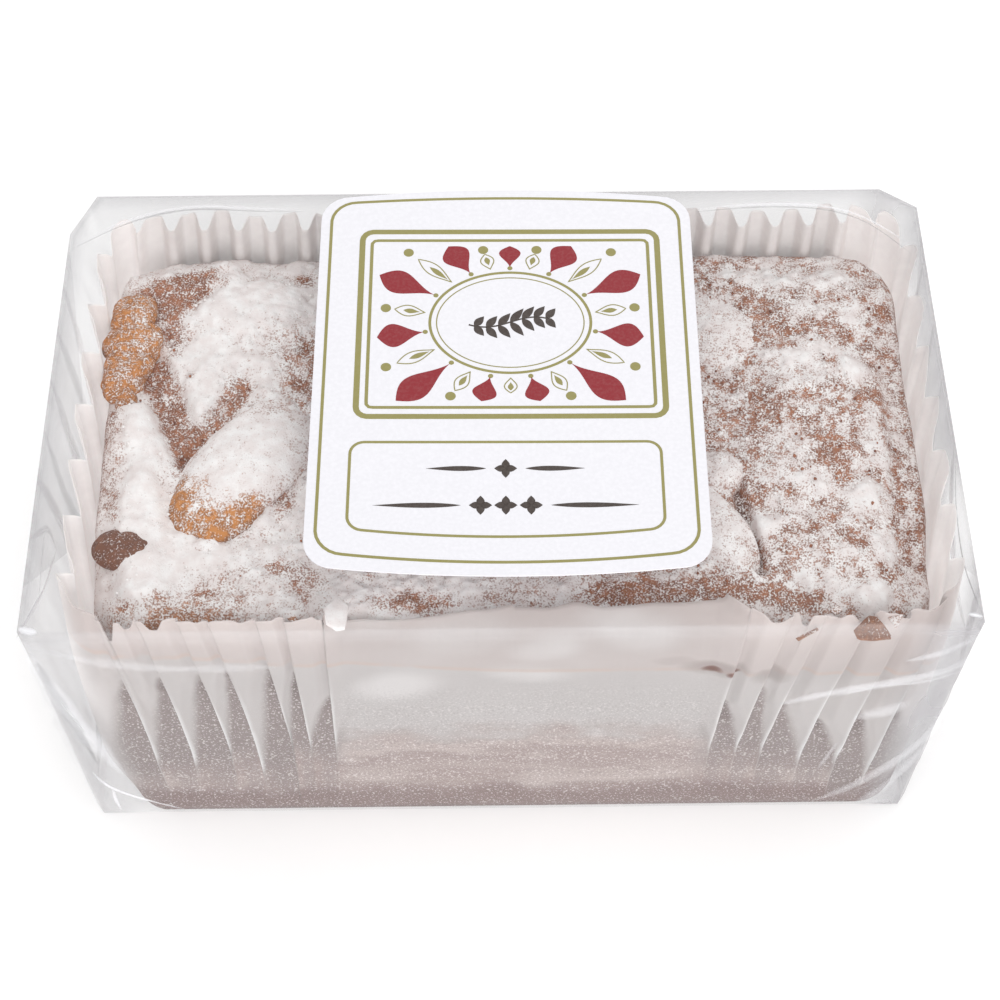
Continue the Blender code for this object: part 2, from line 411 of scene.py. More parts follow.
# Where sugar lies thicker or leaves crust bare: ellipses as (x, y, half width, half depth, degrees, amount)
SUGAR_PATCHES_MM = (
    (-65, 35.5, 11, 5.5, 22, -0.95), (-64.5, 26.5, 3.6, 6.5, 25, -0.54), (-68.5, 16, 3.5, 4, 0, -0.5),
    (-38.5, 17, 5.5, 9, -10, -0.6), (-37, 4, 3.2, 7, 0, -0.42), (-41, 40, 6, 1.8, -6, -0.5),
    (-65, -39.6, 13.5, 4.4, -6, -0.42), (-55, -41.5, 12, 3.4, 4, -0.26), (-40.8, -29.5, 2.8, 2, 0, -0.5),
    (-46, -33, 15, 7, 4, -0.26), (-33, -34, 6, 5, 0, -0.2), (-49, 32.5, 13, 7.5, 12, 0.45),
    (-55.5, 20, 6, 6, 0, 0.4), (-57.2, 11.5, 3.4, 6.5, -8, 0.4), (-61, -25, 6.5, 6, 0, 0.45),
    (-63, -32, 8, 3, 6, 0.4), (-50, -27, 6, 2.4, 8, 0.24), (62, 38.5, 15, 3.4, -6, 0.45),
    (57, 17.8, 6.5, 2.8, -20, 0.45), (64.5, 19, 8, 2.8, 12, 0.42), (70.2, 14.6, 4.2, 3.4, -20, 0.8),
    (71.8, -3, 2.8, 6, 10, 0.5), (69, -16, 4.4, 5.2, 12, 0.8), (72, -25.5, 2.6, 5.5, 0, 0.45),
    (49.8, -20.8, 4.6, 2.4, 8, 0.7), (58.5, -12.5, 5, 2.6, 0, 0.35), (60, -30, 8, 3, 20, 0.3),
    (68, -37.6, 3.8, 4.8, 0, 0.8), (60.5, -35, 7, 2.2, -14, 0.4), (66, 29, 9, 3, -12, 0.25),
    (50.5, 34.8, 4.6, 2.6, -20, -0.35), (55.5, 27.4, 8.5, 2.4, -38, -0.32), (62, 25, 4.6, 2.2, 10, -0.3),
    (58, 6, 7.5, 4.5, 20, -0.2), (62, -5, 5, 5, -20, -0.24), (57, -24.5, 5, 3, 15, -0.2),
    (66, -25.5, 3, 3, 0, -0.24), (-16, -37, 9, 2.6, 0, -0.7), (28, -35.5, 15, 2.8, 2, -0.7),
)
# The same along lines, as (x, y, x, y, half width, amount)
SUGAR_STREAKS_MM = (
    (-67.5, 17, -58.8, -4, 4.6, -0.84), (-58.6, -3, -50.5, 12.5, 3.8, -0.56),
    (-75.4, 5, -73.6, -16, 4.2, -0.36), (-69, 5, -67, -14, 3.8, 0.42), (-67.5, -14, -66.5, -33, 6, 0.4),
    (79, 22, 77, -34, 4.4, -0.06), (44.8, -10, 47.8, -29.5, 2, -0.6), (37, -33.6, 57, -37.6, 3, -0.5),
    (73.5, 21, 75.5, 2, 2.4, -0.2), (-40, 0, -41, -18, 3, -0.34),
)
# Low shapes in the crust: lines as (x, y, x, y, half width, height), and patches whose last is the height
CRUST_FOLDS_MM = (
    (-68.5, 19, -58.6, -4, 5, -2), (-58.4, -3.4, -49, 13.5, 3.8, -1.4), (-71, 4, -66, -33, 6.5, 2.2),
    (44.8, -10, 48.4, -30.5, 2, -2.2), (78.5, 22, 76, -34, 3.6, -1.5), (-72, 38, -55, 41, 5, 1.6),
)
CRUST_MOUNDS_MM = (
    (-50, 32, 15, 9, 10, 1.8), (-60, -39, 14, 5, 0, 1.6), (62, 2, 14, 22, 0, 2.6), (66, 32, 12, 9, 0, 1.5),
    (62, -28, 12, 9, 0, 1.6), (68.8, -16, 4.6, 5.4, 12, 1.2), (70.2, 14.6, 4.6, 3.6, -20, 1.2),
    (68, -37.6, 4, 4.6, 0, 1.4),
)

# Lines of painted shadow, as (x, y, x, y, half width): the hollow beside a lobe, then the left and the right
# end
SHADED_MM = ((44.8, -10, 48.4, -30.5, 1.3), (-75.5, 4, -74, -22, 3.5), (79, 24, 76.5, -34, 4))
GOLDEN_EDGE_MM = (-60, -41, 17, 5, 0)


def crust_height(x, y):
    """Height in mm of the crust over its plan, before its edges turn down: a low dome, plus each named fold
    and mound, plus layered noise for the lumps of a baked top."""
    dome = CRUST_DOME_MM * np.clip(1 - (x / 84) ** 2, 0, 1) * np.clip(1 - (y / 50) ** 2, 0, 1)
    height = bpy.context.scene.cake_settings.height / MM - CRUST_DOME_MM + dome
    height = marked(marked(height, streak, x, y, CRUST_FOLDS_MM), patch, x, y, CRUST_MOUNDS_MM)
    lumps = 1.3 * layered_noise(x, y, 11.0, 3) * ease(20, 45, np.abs(x)) + 0.55 * layered_noise(x, y, 3.4, 8)
    return height + lumps


def sugar_cover(x, y):
    """How much of the crust the sugar hides, from 0 to 1: a share that falls from left to right, plus the
    named patches and streaks, plus layered noise. Even bare crust keeps a dusting."""
    right = ease(0, 40, x)
    cover = marked(mixed(0.68, 0.25, ease(-20, 40, x)), patch, x, y, SUGAR_PATCHES_MM)
    cover = marked(cover, streak, x, y, SUGAR_STREAKS_MM)
    cover = cover + mixed(0.34, 0.24, right) * layered_noise(x, y, 6.0, 21)
    cover = cover + mixed(0.40, 0.58, right) * layered_noise(x, y, 1.9, 33)
    return mixed(mixed(0.38, 0.42, right), 1.0, np.clip(cover, 0, 1))


def cake_material(settings):
    """Crust under icing sugar. A grain shows sugar where fine noise is below the cover, so that thin sugar
    breaks into specks, and thick sugar closes over."""
    finish = Finish("sugared_crust")
    cover = finish.attribute("sugar")
    grain = finish.noise(2900, 1.0)
    clump = finish.noise(820, 2.0)
    speck = (grain * 0.66 + clump * 0.34 - 0.5) * 3.7
    shown = (cover * 1.64 - 0.84 - speck).eased(-0.34, 0.40)
    baked = finish.layered(
        finish.mottled(260, 3.0, 0.35, 0.7, linear(136, 86, 66), settings.crust),
        (finish.attribute("gold"), settings.golden),
        ((clump - grain * 0.4).eased(0.40, 0.24) * 0.45, linear(96, 60, 48)),
        (cover.eased(0.38, 0.80) * 0.72 + 0.04, linear(204, 182, 176)),
        # Painted shadow in the hollow by a lobe, along both ends, on the crust's turned edge and under the
        # lobes, together with darker crust, as one dark brown
        (finish.attribute("painted_shade_and_dark_crust"), linear(90, 62, 54)),
    )
    white = finish.mottled(380, 3.0, 0.3, 0.75, linear(234, 226, 224), settings.sugar)
    relief = grain * 0.6 + clump * 0.4 + shown * 0.6
    return finish.finished(Base_Color=finish.blend(shown, baked, white), Roughness=shown * 0.30 + 0.62,
                           Normal=finish.bump(relief, 0.00032, 0.6), IOR=1.42)


def build_cake(settings, material):
    """The loaf as rings of points: up its four walls, round the edge of the crust, and in over the top to the
    middle, where each ring is the outline drawn towards the middle."""
    position = np.arange(CAKE_COLUMNS) / CAKE_COLUMNS
    left, right, back = (v / MM for v in (settings.left, settings.right, settings.back))
    rows, cover, painted_shade_and_dark_crust, gold = [], [], [], []

    def add(x, y, z, *fields):
        """One ring, with its cover of sugar, its painted shadow and darker crust, and its gold."""
        rows.append(np.stack([x, y, z], -1))
        for values, field in zip((cover, painted_shade_and_dark_crust, gold), fields):
            values.append(field + 0 * x)

    def outline(share, inset):
        """The loaf from above, share of the way up its walls."""
        front = mixed(settings.front_base, settings.front_top, share) / MM
        radius = mixed(CAKE_CORNER_BASE, CAKE_CORNER_TOP, share) / MM
        return round_outline(position, left + inset, right - inset, front + inset, back - inset, radius)

    edge_x, edge_y = outline(1.0, 0.0)
    end = ease(0, 14, edge_y + 30)
    round_mm = mixed(CRUST_ROUND_MM, END_ROUND_MM, end)
    drop_mm = mixed(CRUST_DROP_MM, END_DROP_MM, end)
    crown = crust_height(edge_x, edge_y) - drop_mm
    for share in np.linspace(0, 1, CAKE_WALL_ROWS):
        x, y = outline(share, 2.5 * (1 - ease(0, 0.08, share)))
        add(x, y, mixed(CAKE_FLOOR / MM, crown, share), 0.5, 0.2, 0.12)
    middle_x, middle_y = (left + right) / 2, (edge_y.min() + back) / 2
    reach = np.hypot(edge_x - middle_x, edge_y - middle_y)
    for share in np.concatenate([np.linspace(1, 0.42, CAKE_TOP_ROWS)[1:], np.linspace(0.42, 0.04, 12)[1:]]):
        x = middle_x + (edge_x - middle_x) * share
        y = middle_y + (edge_y - middle_y) * share
        inside = np.minimum(np.minimum(x - left, right - x), np.minimum(back - y, y - edge_y.min()))
        turn = np.clip(1 - np.minimum(inside, (1 - share) * reach * 1.2) / round_mm, 0, 1)
        z = crust_height(x, y) - drop_mm * (1 - np.sqrt(1 - turn ** 2))
        sugar = sugar_cover(x, y)
        z = z + 0.7 * ease(0.7, 1.0, sugar) + 0.25 * layered_noise(x, y, 1.1, 60, 2)
        # Painted shadow: a dark line in the hollow beside a lobe, bands along both ends, and a little where
        # the crust's edge turns down
        hollow, left_end_shade, right_end_shade = (streak(x, y, line) for line in SHADED_MM)
        end_shade = right_end_shade + left_end_shade
        add(x, y, z, sugar * (1 - 0.2 * ease(0.7, 1.0, turn)),
            np.clip(0.8 * hollow + 0.06 * end_shade + 0.08 * ease(0.75, 1.0, turn), 0, 1),
            0.12 + 0.35 * patch(x, y, GOLDEN_EDGE_MM))
    skin = Skin()
    fields = {"sugar": np.array(cover), "painted_shade_and_dark_crust": np.array(painted_shade_and_dark_crust), "gold": np.array(gold)}
    skin.loft(np.array(rows) * MM, fields)
    return settle(skin.piece("cake", material, 80), "cake", "wrap")


# Lobes of cake that stand out of the crust, as (x, y, z, half length, half width, half height, degrees
# turned, sugar on top, sugar on its rim, gold, painted shadow and darker crust, lumpiness, degrees towards
# its bare flank or None)
LOBES_MM = (
    (-48.8, -8.2, 61.6, 18.8, 9.8, 5, 57, 0.88, 0.66, 1, 0, 0.17, 244),
    (-55, -24.4, 61.6, 2.6, 1.9, 1.7, 0, 0.84, 0.7, 0.3, 0.05, 0.2, None),
    (-72.4, 29.4, 62.2, 6.6, 4.4, 3, 84, 0.4, 0.36, 0.95, 0, 0.3, None),
    (-71.6, 22.8, 62.2, 6, 5.2, 3.4, 30, 0.42, 0.34, 0.95, 0, 0.28, None),
    (-73, 16, 62.2, 6.6, 4.6, 3.2, 70, 0.38, 0.36, 0.9, 0, 0.3, None),
    (-72.4, 9, 61.6, 4.6, 2.2, 2, 96, 0.4, 0.36, 0.8, 0.05, 0.2, None),
    (-69.8, -25.6, 62, 6.4, 4.3, 2.8, -8, 0.24, 0.16, 0.16, 0.6, 0.12, None),
    (42, 26.5, 59.8, 12.5, 10, 3.8, -30, 0.72, 0.62, 0.05, 0, 0.16, None),
    (41.4, -8.6, 60.4, 5.6, 5.2, 3.2, 30, 0.74, 0.58, 0.05, 0, 0.18, None),
    (40.4, -21.6, 60.8, 12, 5.6, 3.6, -62, 0.74, 0.6, 0.05, 0, 0.15, None),
)
LOBE_ROWS = 48
LOBE_COLUMNS = 96


def lobe_rows(half_sizes, lumpiness, seed):
    """A lumpy ellipsoid about the origin in mm: rings from its lowest point to its highest, with each radius
    changed by noise on its direction."""
    climb = np.linspace(0, np.pi, LOBE_ROWS + 2)[1:-1, None]
    around = np.linspace(0, 2 * np.pi, LOBE_COLUMNS, endpoint=False)[None]
    ring = np.sin(climb) ** 0.85
    x = ring * np.cos(around)
    y = ring * np.sin(around)
    z = -np.cos(climb) + 0 * around
    swell = 1 + lumpiness * layered_noise(x + 0.7 * z + 9, y - 0.6 * z + 9, 0.8, seed)
    return [axis * swell * half for axis, half in zip((x, y, z), half_sizes)]


def build_lobes(material):
    """The lobes, each sunk in the crust. Sugar lies on what faces up, and leaves one flank bare."""
    skin = Skin()
    for seed, lobe in enumerate(LOBES_MM):
        x, y, z, long, wide, high, turn, sugar, rim, gold, painted_shade_and_dark_crust, lumpiness, flank = lobe
        across, along, up = lobe_rows((long, wide, high), lumpiness, 100 + seed)
        angle = math.radians(turn)
        out_x = across * math.cos(angle) - along * math.sin(angle)
        out_y = across * math.sin(angle) + along * math.cos(angle)
        bare, tone = 0.0 * out_x, gold
        if flank is not None:
            towards = out_x * math.cos(math.radians(flank)) + out_y * math.sin(math.radians(flank))
            bare = ease(0.38, 0.76, towards / np.maximum(np.hypot(out_x, out_y), 0.01)) + 0 * out_x
            tone = gold * mixed(0.1, 1.0, bare)
        facing = up / high
        wander = layered_noise(x + out_x, y + out_y, 2.6, 140 + seed)
        level = facing + mixed(0.30, 0.12, bare) * wander
        top = ease(mixed(0.10, 0.66, bare), mixed(0.85, 1.04, bare), level)
        cover = mixed(mixed(rim, 0.34, bare), sugar, top) + 0.14 * wander
        grit = 0.22 * layered_noise(x + out_x + up, y + out_y, 1.2, 170 + seed, 2)
        # Painted shadow on the bare flank where it faces down, under the lobe
        under = painted_shade_and_dark_crust + 0.5 * bare * ease(0.30, 0.05, facing)
        skin.loft(np.stack([x + out_x, y + out_y, z + up + grit], -1) * MM,
                  {"sugar": np.clip(cover, 0, 1), "gold": tone + 0 * cover, "painted_shade_and_dark_crust": under + 0 * cover})
    return settle(skin.piece("cake_lobes", material, 80), "cake", "wrap")


# Loose flakes on the front edge, each as its sugar, gold, thickness, height at its ends, and its outline
FLAKES_MM = (
    (0.2, 0.4, 1, (64.8, 66.6),
     ((63.3, -45.9), (63.8, -47.8), (66.5, -48.6), (69.7, -48.8), (68.9, -46.4), (67.5, -43.8),
      (66.1, -43.3))),
    (0.62, 0.2, 0.6, (66.4, 67), ((69.4, -44), (70.6, -46.8), (72.2, -44))),
    (0.3, 0.5, 0.5, (63.4, 64.2), ((53, -46.6), (53.4, -47.2), (57.2, -45.3), (57, -44.8))),
    (1, 0, 1.2, (66.6, 65.6),
     ((-31.9, -41.2), (-31.4, -44.4), (-29.6, -45.6), (-28, -45), (-27.4, -40.2), (-29.3, -38.4))),
    (0.5, 0.3, 0.8, (64.4, 64.8), ((59.4, -41.6), (60.6, -42.6), (61.8, -41.8), (60.9, -40.6))),
    (0.45, 0.6, 0.7, (64.6, 64.4), ((-38.6, -42), (-37.6, -42.9), (-36.4, -42.2), (-37.2, -41.2))),
)
FLAKE_STEPS = 24
FLAKE_LAYERS = 6


def build_flakes(material):
    """Thin flakes of crust and of sugar. Each is a stack of outlines, rounded off at the edge by half an
    ellipse, which tilts from its left to its right end."""
    skin = Skin()
    for number, (sugar, gold, thick, (low, high), corners) in enumerate(FLAKES_MM):
        steps = np.arange(FLAKE_STEPS) / FLAKE_STEPS * len(corners)
        x, y = (np.interp(steps, range(len(corners) + 1), side + side[:1]) for side in zip(*corners))
        tilt = mixed(low, high, (x - x.min()) / np.ptp(x))
        ripple = 0.15 * layered_noise(x, y, 1.3, 190 + number, 2)
        rows = []
        for climb in np.linspace(-np.pi / 2 + 0.3, np.pi / 2 - 0.3, FLAKE_LAYERS):
            size = 0.82 + 0.18 * math.cos(climb)
            rows.append(np.stack([mixed(x.mean(), x, size), mixed(y.mean(), y, size),
                                  tilt + thick / 2 * math.sin(climb) + ripple], -1))
        # Bare flakes take darker crust
        painted_shade_and_dark_crust = mixed(0.45, 0.0, ease(0.3, 0.6, sugar))
        skin.loft(np.array(rows) * MM, {"sugar": sugar, "gold": gold, "painted_shade_and_dark_crust": painted_shade_and_dark_crust})
    return settle(skin.piece("crust_flakes", material, 50), "cake", "wrap")


def icosahedron():
    """Twelve points at the corners of three crossed golden rectangles, and the twenty faces over them."""
    a, b = 1.0, (1 + math.sqrt(5)) / 2
    points = [(-a, b, 0), (a, b, 0), (-a, -b, 0), (a, -b, 0), (0, -a, b), (0, a, b), (0, -a, -b), (0, a, -b),
              (b, 0, -a), (b, 0, a), (-b, 0, -a), (-b, 0, a)]
    faces = [(0, 11, 5), (0, 5, 1), (0, 1, 7), (0, 7, 10), (0, 10, 11), (1, 5, 9), (5, 11, 4), (11, 10, 2),
             (10, 7, 6), (7, 1, 8), (3, 9, 4), (3, 4, 2), (3, 2, 6), (3, 6, 8), (3, 8, 9), (4, 9, 5),
             (2, 4, 11), (6, 2, 10), (8, 6, 7), (9, 8, 1)]
    return np.array(points) / math.hypot(a, b), np.array(faces)


# Grains on the crust, as (piece, slot, how many are drawn, seed, height over the crust, smallest and largest
# size, scale and detail of the noise in its colour, roughness)
GRAINS = (
    ("sugar_clumps", "sugar", 2600, 11, 0.55, (0.14, 0.42), (1500, 1.0), 0.95),
    ("crust_crumbs", "cake", 900, 14, 0.50, (0.16, 0.40), (900, 2.0), 0.7),
)


def build_clumps(settings):
    """Small clumps of sugar where it lies thick, and crumbs of crust where it is thin, scattered as
    twenty-sided grains on the top of the loaf. A place is kept where its share is above a random one."""
    shape, faces = icosahedron()
    draw = np.random.default_rng(5)
    shares = (lambda cover: ease(0.25, 0.9, cover)), (lambda cover: 1 - cover)
    tones = (linear(226, 220, 217), settings.sugar), (linear(104, 58, 44), settings.crust)
    for (name, slot, count, seed, lift, sizes, mottle, rough), share, tone in zip(GRAINS, shares, tones):
        place = np.random.default_rng(seed)
        x, y = place.uniform(-72, 77, count), place.uniform(-36, 39, count)
        kept = share(sugar_cover(x, y)) * ease(30, 40, np.abs(x)) > place.random(count)
        x, y = x[kept], y[kept]
        skin = Skin()
        skin.scatter(shape, faces, np.stack([x, y, crust_height(x, y) + lift], -1) * MM,
                     draw.uniform(*sizes, len(x)) * MM, seed + 1)
        finish = Finish(name)
        material = finish.finished(Base_Color=finish.mottled(*mottle, 0.3, 0.7, *tone), Roughness=rough,
                                   Normal=finish.bump(finish.noise(4000, 1.0), 0.0001))
        settle(skin.piece(name, material, 30), slot, "wrap")


# The paper case

PLEAT_COLUMNS = 20
CASE_ROWS = 40
CASE_LEFT_MM = (-80.2, -76.2)
CASE_RIGHT_MM = (81.8, 80.9)
CASE_FRONT_MM = (-49.1, -44.6)
CASE_BACK_MM = (48.0, 46.2)
CASE_CORNER_MM = (9.0, 6.5)
CASE_FLOOR_MM = 0.5
CASE_GIRTH_MM = 482.0
PLEAT_GIRTH_MM = 70.0
CASE_CLIMB = 1.35
FOLD_OVER_MM = 54.0
PAPER_THICKNESS = 0.00012

# How the pleats are shared out from the middle of the front: a share of them, and the share of the girth
# there. The pleats of the ends are broad.
PLEAT_SHARES = ((0.0, 0.190, 0.300, 0.5), (0.0, 0.162, 0.332, 0.5))

# The front's pleats outwards from its middle, as (how far it stands from its even place, where the paper
# leaves the crumb at its tip, where the flap beside it ends). The first row is the pleat numbered here.
FIRST_PLEAT = 5
LEFT_PLEATS_MM = (
    (0, 44, 27), (0, 52.3, 28.1), (-1.9, 53.8, 17.4), (0, 52.6, 25.7), (-1.5, 51.3, 21), (-1, 50, 22.3),
    (-0.8, 50.7, 16.3), (0, 48, 16.6), (0, 46, 18),
)
RIGHT_PLEATS_MM = (
    (1, 38, 24), (1.5, 40, 24), (2, 46, 23.3), (1, 38.9, 19.8), (2, 33, 19.7), (2.4, 36.5, 12.8),
    (2.4, 39.4, 14.9), (1, 36, 14), (0, 34, 14),
)
SLANT_MM = 8.6

# Where the rim of the front dips, as (x, half width, depth)
RIM_DIPS_MM = (
    (-76, 1.2, 1.2), (-70.3, 0.9, 5.2), (-67.2, 1.5, 2.8), (-62.4, 1.8, 2.8), (-53.5, 2.6, 1.1),
    (-46, 2.4, 1.3), (-38, 2.6, 0.8), (-32.5, 1.6, 1.6), (49.6, 2.2, 1.6), (54.8, 1.3, 3.2), (60, 2.4, 1.6),
    (65.6, 2.8, 3.4), (72.5, 1.8, 1.6),
)


def case_pleats(settings):
    """For each column: its place from 0 at the middle of the front to 0.5 at the middle of the back, its
    side, its place counted in pleats, how high the paper leaves the crumb, and where its flap ends."""
    count = settings.pleats * PLEAT_COLUMNS
    index = np.arange(count)
    side = np.where(index < count / 2, 1.0, -1.0)
    pleat = np.minimum(index, count - index) / PLEAT_COLUMNS + 1e-9
    reach = np.interp(pleat / settings.pleats, *PLEAT_SHARES)
    number = np.floor(pleat).astype(int)
    tables = np.array([LEFT_PLEATS_MM, RIGHT_PLEATS_MM])
    half = (side > 0).astype(int)
    row = np.clip(number - FIRST_PLEAT, 0, tables.shape[1] - 1)
    tip, point = tables[half, row, 1], tables[half, row, 2]
    numbers = FIRST_PLEAT + np.arange(-1, tables.shape[1] + 1)
    shift = [np.interp(pleat, numbers, np.concatenate([[0.0], table[:, 0], [0.0]])) for table in tables]
    return reach + np.where(side < 0, *shift) / CASE_GIRTH_MM, side, pleat, tip, point


def case_rim(settings, reach, side, flat_x, front, smooth, back, phase):
    """Height in mm of the rim at each column: slow noise, lower along the front, with its named dips, round
    leaves at the ends, and round thumbs over the open folds of the back."""
    rim = settings.rim / MM + 0.7 * layered_noise(reach * 700 + 40 * side, 0 * reach, 14.0, 45, 2)
    rim = rim - 3.0 * front * (1 - smooth) - smooth * (5.4 + np.interp(flat_x, (-30, 0, 38), (2.8, 1.1, 0.6)))
    for middle, half_width, depth in RIM_DIPS_MM:
        rim = rim - front * (1 - smooth) * depth * (1 - ease(0.2, 1.0, np.abs(flat_x - middle) / half_width))
    thumb = ease(0.0, 0.30, phase) - ease(0.70, 1.0, phase)
    leaf = ease(0.0, 0.35, phase) * (1 - ease(0.80, 1.0, phase))
    return rim + back * (0.9 * thumb - 0.6) + (1 - front) * (1 - back) * (2.0 * leaf - 1.6)


def knife_fold(phase, valley):
    """A pleat pressed flat: a floor as wide as the valley, a slope, a crest, and a steep edge back down."""
    return ease(valley, valley + 0.32, phase) * (1 - ease(0.93, 1.0, phase))


def build_case(settings):
    """The case as rows of points from its base to its rim. Each row is a rounded rectangle, moved out by the
    pleats' profile and turned so that the pleats slant to the middle of the front as they go down. Pleats are
    pressed flat at the front, overlap as broad leaves at the ends and stand open at the back, and the middle
    of the front is bare."""
    reach, side, pleat, tip, point = case_pleats(settings)
    phase = pleat - np.floor(pleat)
    flat_x, _ = round_outline(np.mod(side * reach, 1), CASE_LEFT_MM[1], CASE_RIGHT_MM[1], CASE_FRONT_MM[1],
                              CASE_BACK_MM[1], CASE_CORNER_MM[1])
    front, back = 1 - ease(0.160, 0.178, reach), ease(0.340, 0.362, reach)
    smooth = (reach < 0.2) * ease(-33, -28, flat_x) * (1 - ease(38, 48, flat_x))
    slant = SLANT_MM / CASE_GIRTH_MM * ease(0.05, 0.12, reach)
    slant = slant * (1 - 0.85 * ease(0.17, 0.24, reach)) * (1 - back)
    uneven = 1 + 0.28 * layered_noise(reach * 900 + 40 * side, 0 * reach, 9.0, 44, 2)
    rim = case_rim(settings, reach, side, flat_x, front, smooth, back, phase)
    leaf = (0.25 + 0.75 * ease(0.0, 0.80, phase)) * (1 - 0.9 * ease(0.90, 1.0, phase))
    open_fold = ease(0.06, 0.34, phase) - ease(0.66, 0.94, phase)
    carried = 0.26 * ease(0.45, 0.93, phase) * (1 - ease(0.93, 1.0, phase)) * (1 - back) * (1 - smooth)
    carried = carried * mixed(0.5, 0.35, front)
    rows, clouds = [], []
    for climb in np.linspace(0, 1, CASE_ROWS):
        share = 1 - (1 - climb) ** CASE_CLIMB
        z = CASE_FLOOR_MM + share * rim
        bare = np.clip((tip - z) / (tip - point), 0, 1) ** 0.6
        out = mixed(mixed(leaf, knife_fold(phase, mixed(0.14, 0.86, bare)), front), open_fold, back)
        at = side * (reach - slant * (1 - share ** 2) + carried * (0.3 + 0.7 * share) / PLEAT_GIRTH_MM)
        limits = [mixed(*pair, share) for pair in
                  (CASE_LEFT_MM, CASE_RIGHT_MM, CASE_FRONT_MM, CASE_BACK_MM, CASE_CORNER_MM)]
        x, y = round_outline(np.mod(at, 1), *limits)
        next_x, next_y = round_outline(np.mod(at + 0.002, 1), *limits)
        run = np.hypot(next_x - x, next_y - y)
        normal_x, normal_y = (next_y - y) / run, (x - next_x) / run
        depth = settings.pleat_depth / MM * uneven * (0.08 + 0.92 * share ** 1.6)
        depth = depth * mixed(mixed(0.84, 0.66, ease(60, 78, x)), 0.90, back)
        pressed = 1.2 * uneven * ease(3, 18, z) * (1 - 0.3 * ease(48, 62, z))
        depth = mixed(depth, pressed, front) * (1 - 0.97 * smooth)
        move = out * depth - 0.9 * (1 - np.sqrt(1 - np.clip(1 - z / 4, 0, 1) ** 2))
        over = np.clip((z - FOLD_OVER_MM) / 10.8, 0, 1)
        lean = smooth * 8.8 * (1 - np.sqrt(1 - over ** 2))
        lean = lean + (1 - smooth) * front * 1.4 * ease(FOLD_OVER_MM, 68, z)
        corner = ease(58, 80, np.abs(x)) * ease(26, 46, np.abs(y)) * (1 - ease(0, 22, z))
        x = x + normal_x * move + corner * np.where(x < 0, 5.0, -1.0)
        y = y + normal_y * move + lean
        rows.append(np.stack([x, y, z], -1))
        clouds.append(cloud_cover(x, z))
    rows = np.array(rows)
    values = {"smooth": smooth, "front": front, "cloud": np.array(clouds)}
    values.update(tip=tip / 100, point=point / 100)
    uv = np.concatenate([pleat, [0.0]]), rows[..., 2] / 100
    skin = Skin()
    skin.loft(rows * MM, values, uv, close_high=False)
    case = skin.piece("paper_case", paper_material(settings), 180)
    shell = case.modifiers.new("paper", "SOLIDIFY")
    shell.thickness = PAPER_THICKNESS
    shell.offset = -1
    return settle(case, "paper", "wrap")


# Marks of crust on the smooth front, as (x, z, half width, half height, strength): haze, then the dark lips
LIP_HAZE_MM = (
    (39.6, 51.4, 8, 2.8, 0.55), (50, 49.6, 4.6, 3, 0.5), (32, 53.6, 5, 2, 0.22),
)
LIPS_MM = (
    (39, 50.6, 2.4, 1, 1), (43, 50, 1.6, 0.9, 1),
)
# White clouds in the smooth front of the paper, as (x, z, half width, half height, degrees, amount)
CLOUDS_MM = (
    (-20, 46, 9, 5, 8, 0.9), (-6, 60, 10, 5, 0, 0.6), (8, 57, 8, 3.4, 12, 0.9), (4, 50, 9, 3, -6, 0.7),
    (26, 60, 9, 4, 0, 0.8), (20, 63, 7, 3, 10, 0.6), (-24, 64, 8, 4, 0, 0.7), (36, 66, 7, 3, 0, 0.5),
    (18.5, 27.5, 1.6, 1.6, 0, 1), (37.5, 14, 2, 2, 0, 1),
)


def cloud_cover(x, z):
    """How white the front is, from 0 to 1: soft noise plus the named clouds."""
    return np.clip(marked(0.30 * layered_noise(x, z, 14.0, 71, 2), patch, x, z + 0 * x, CLOUDS_MM), 0, 1)


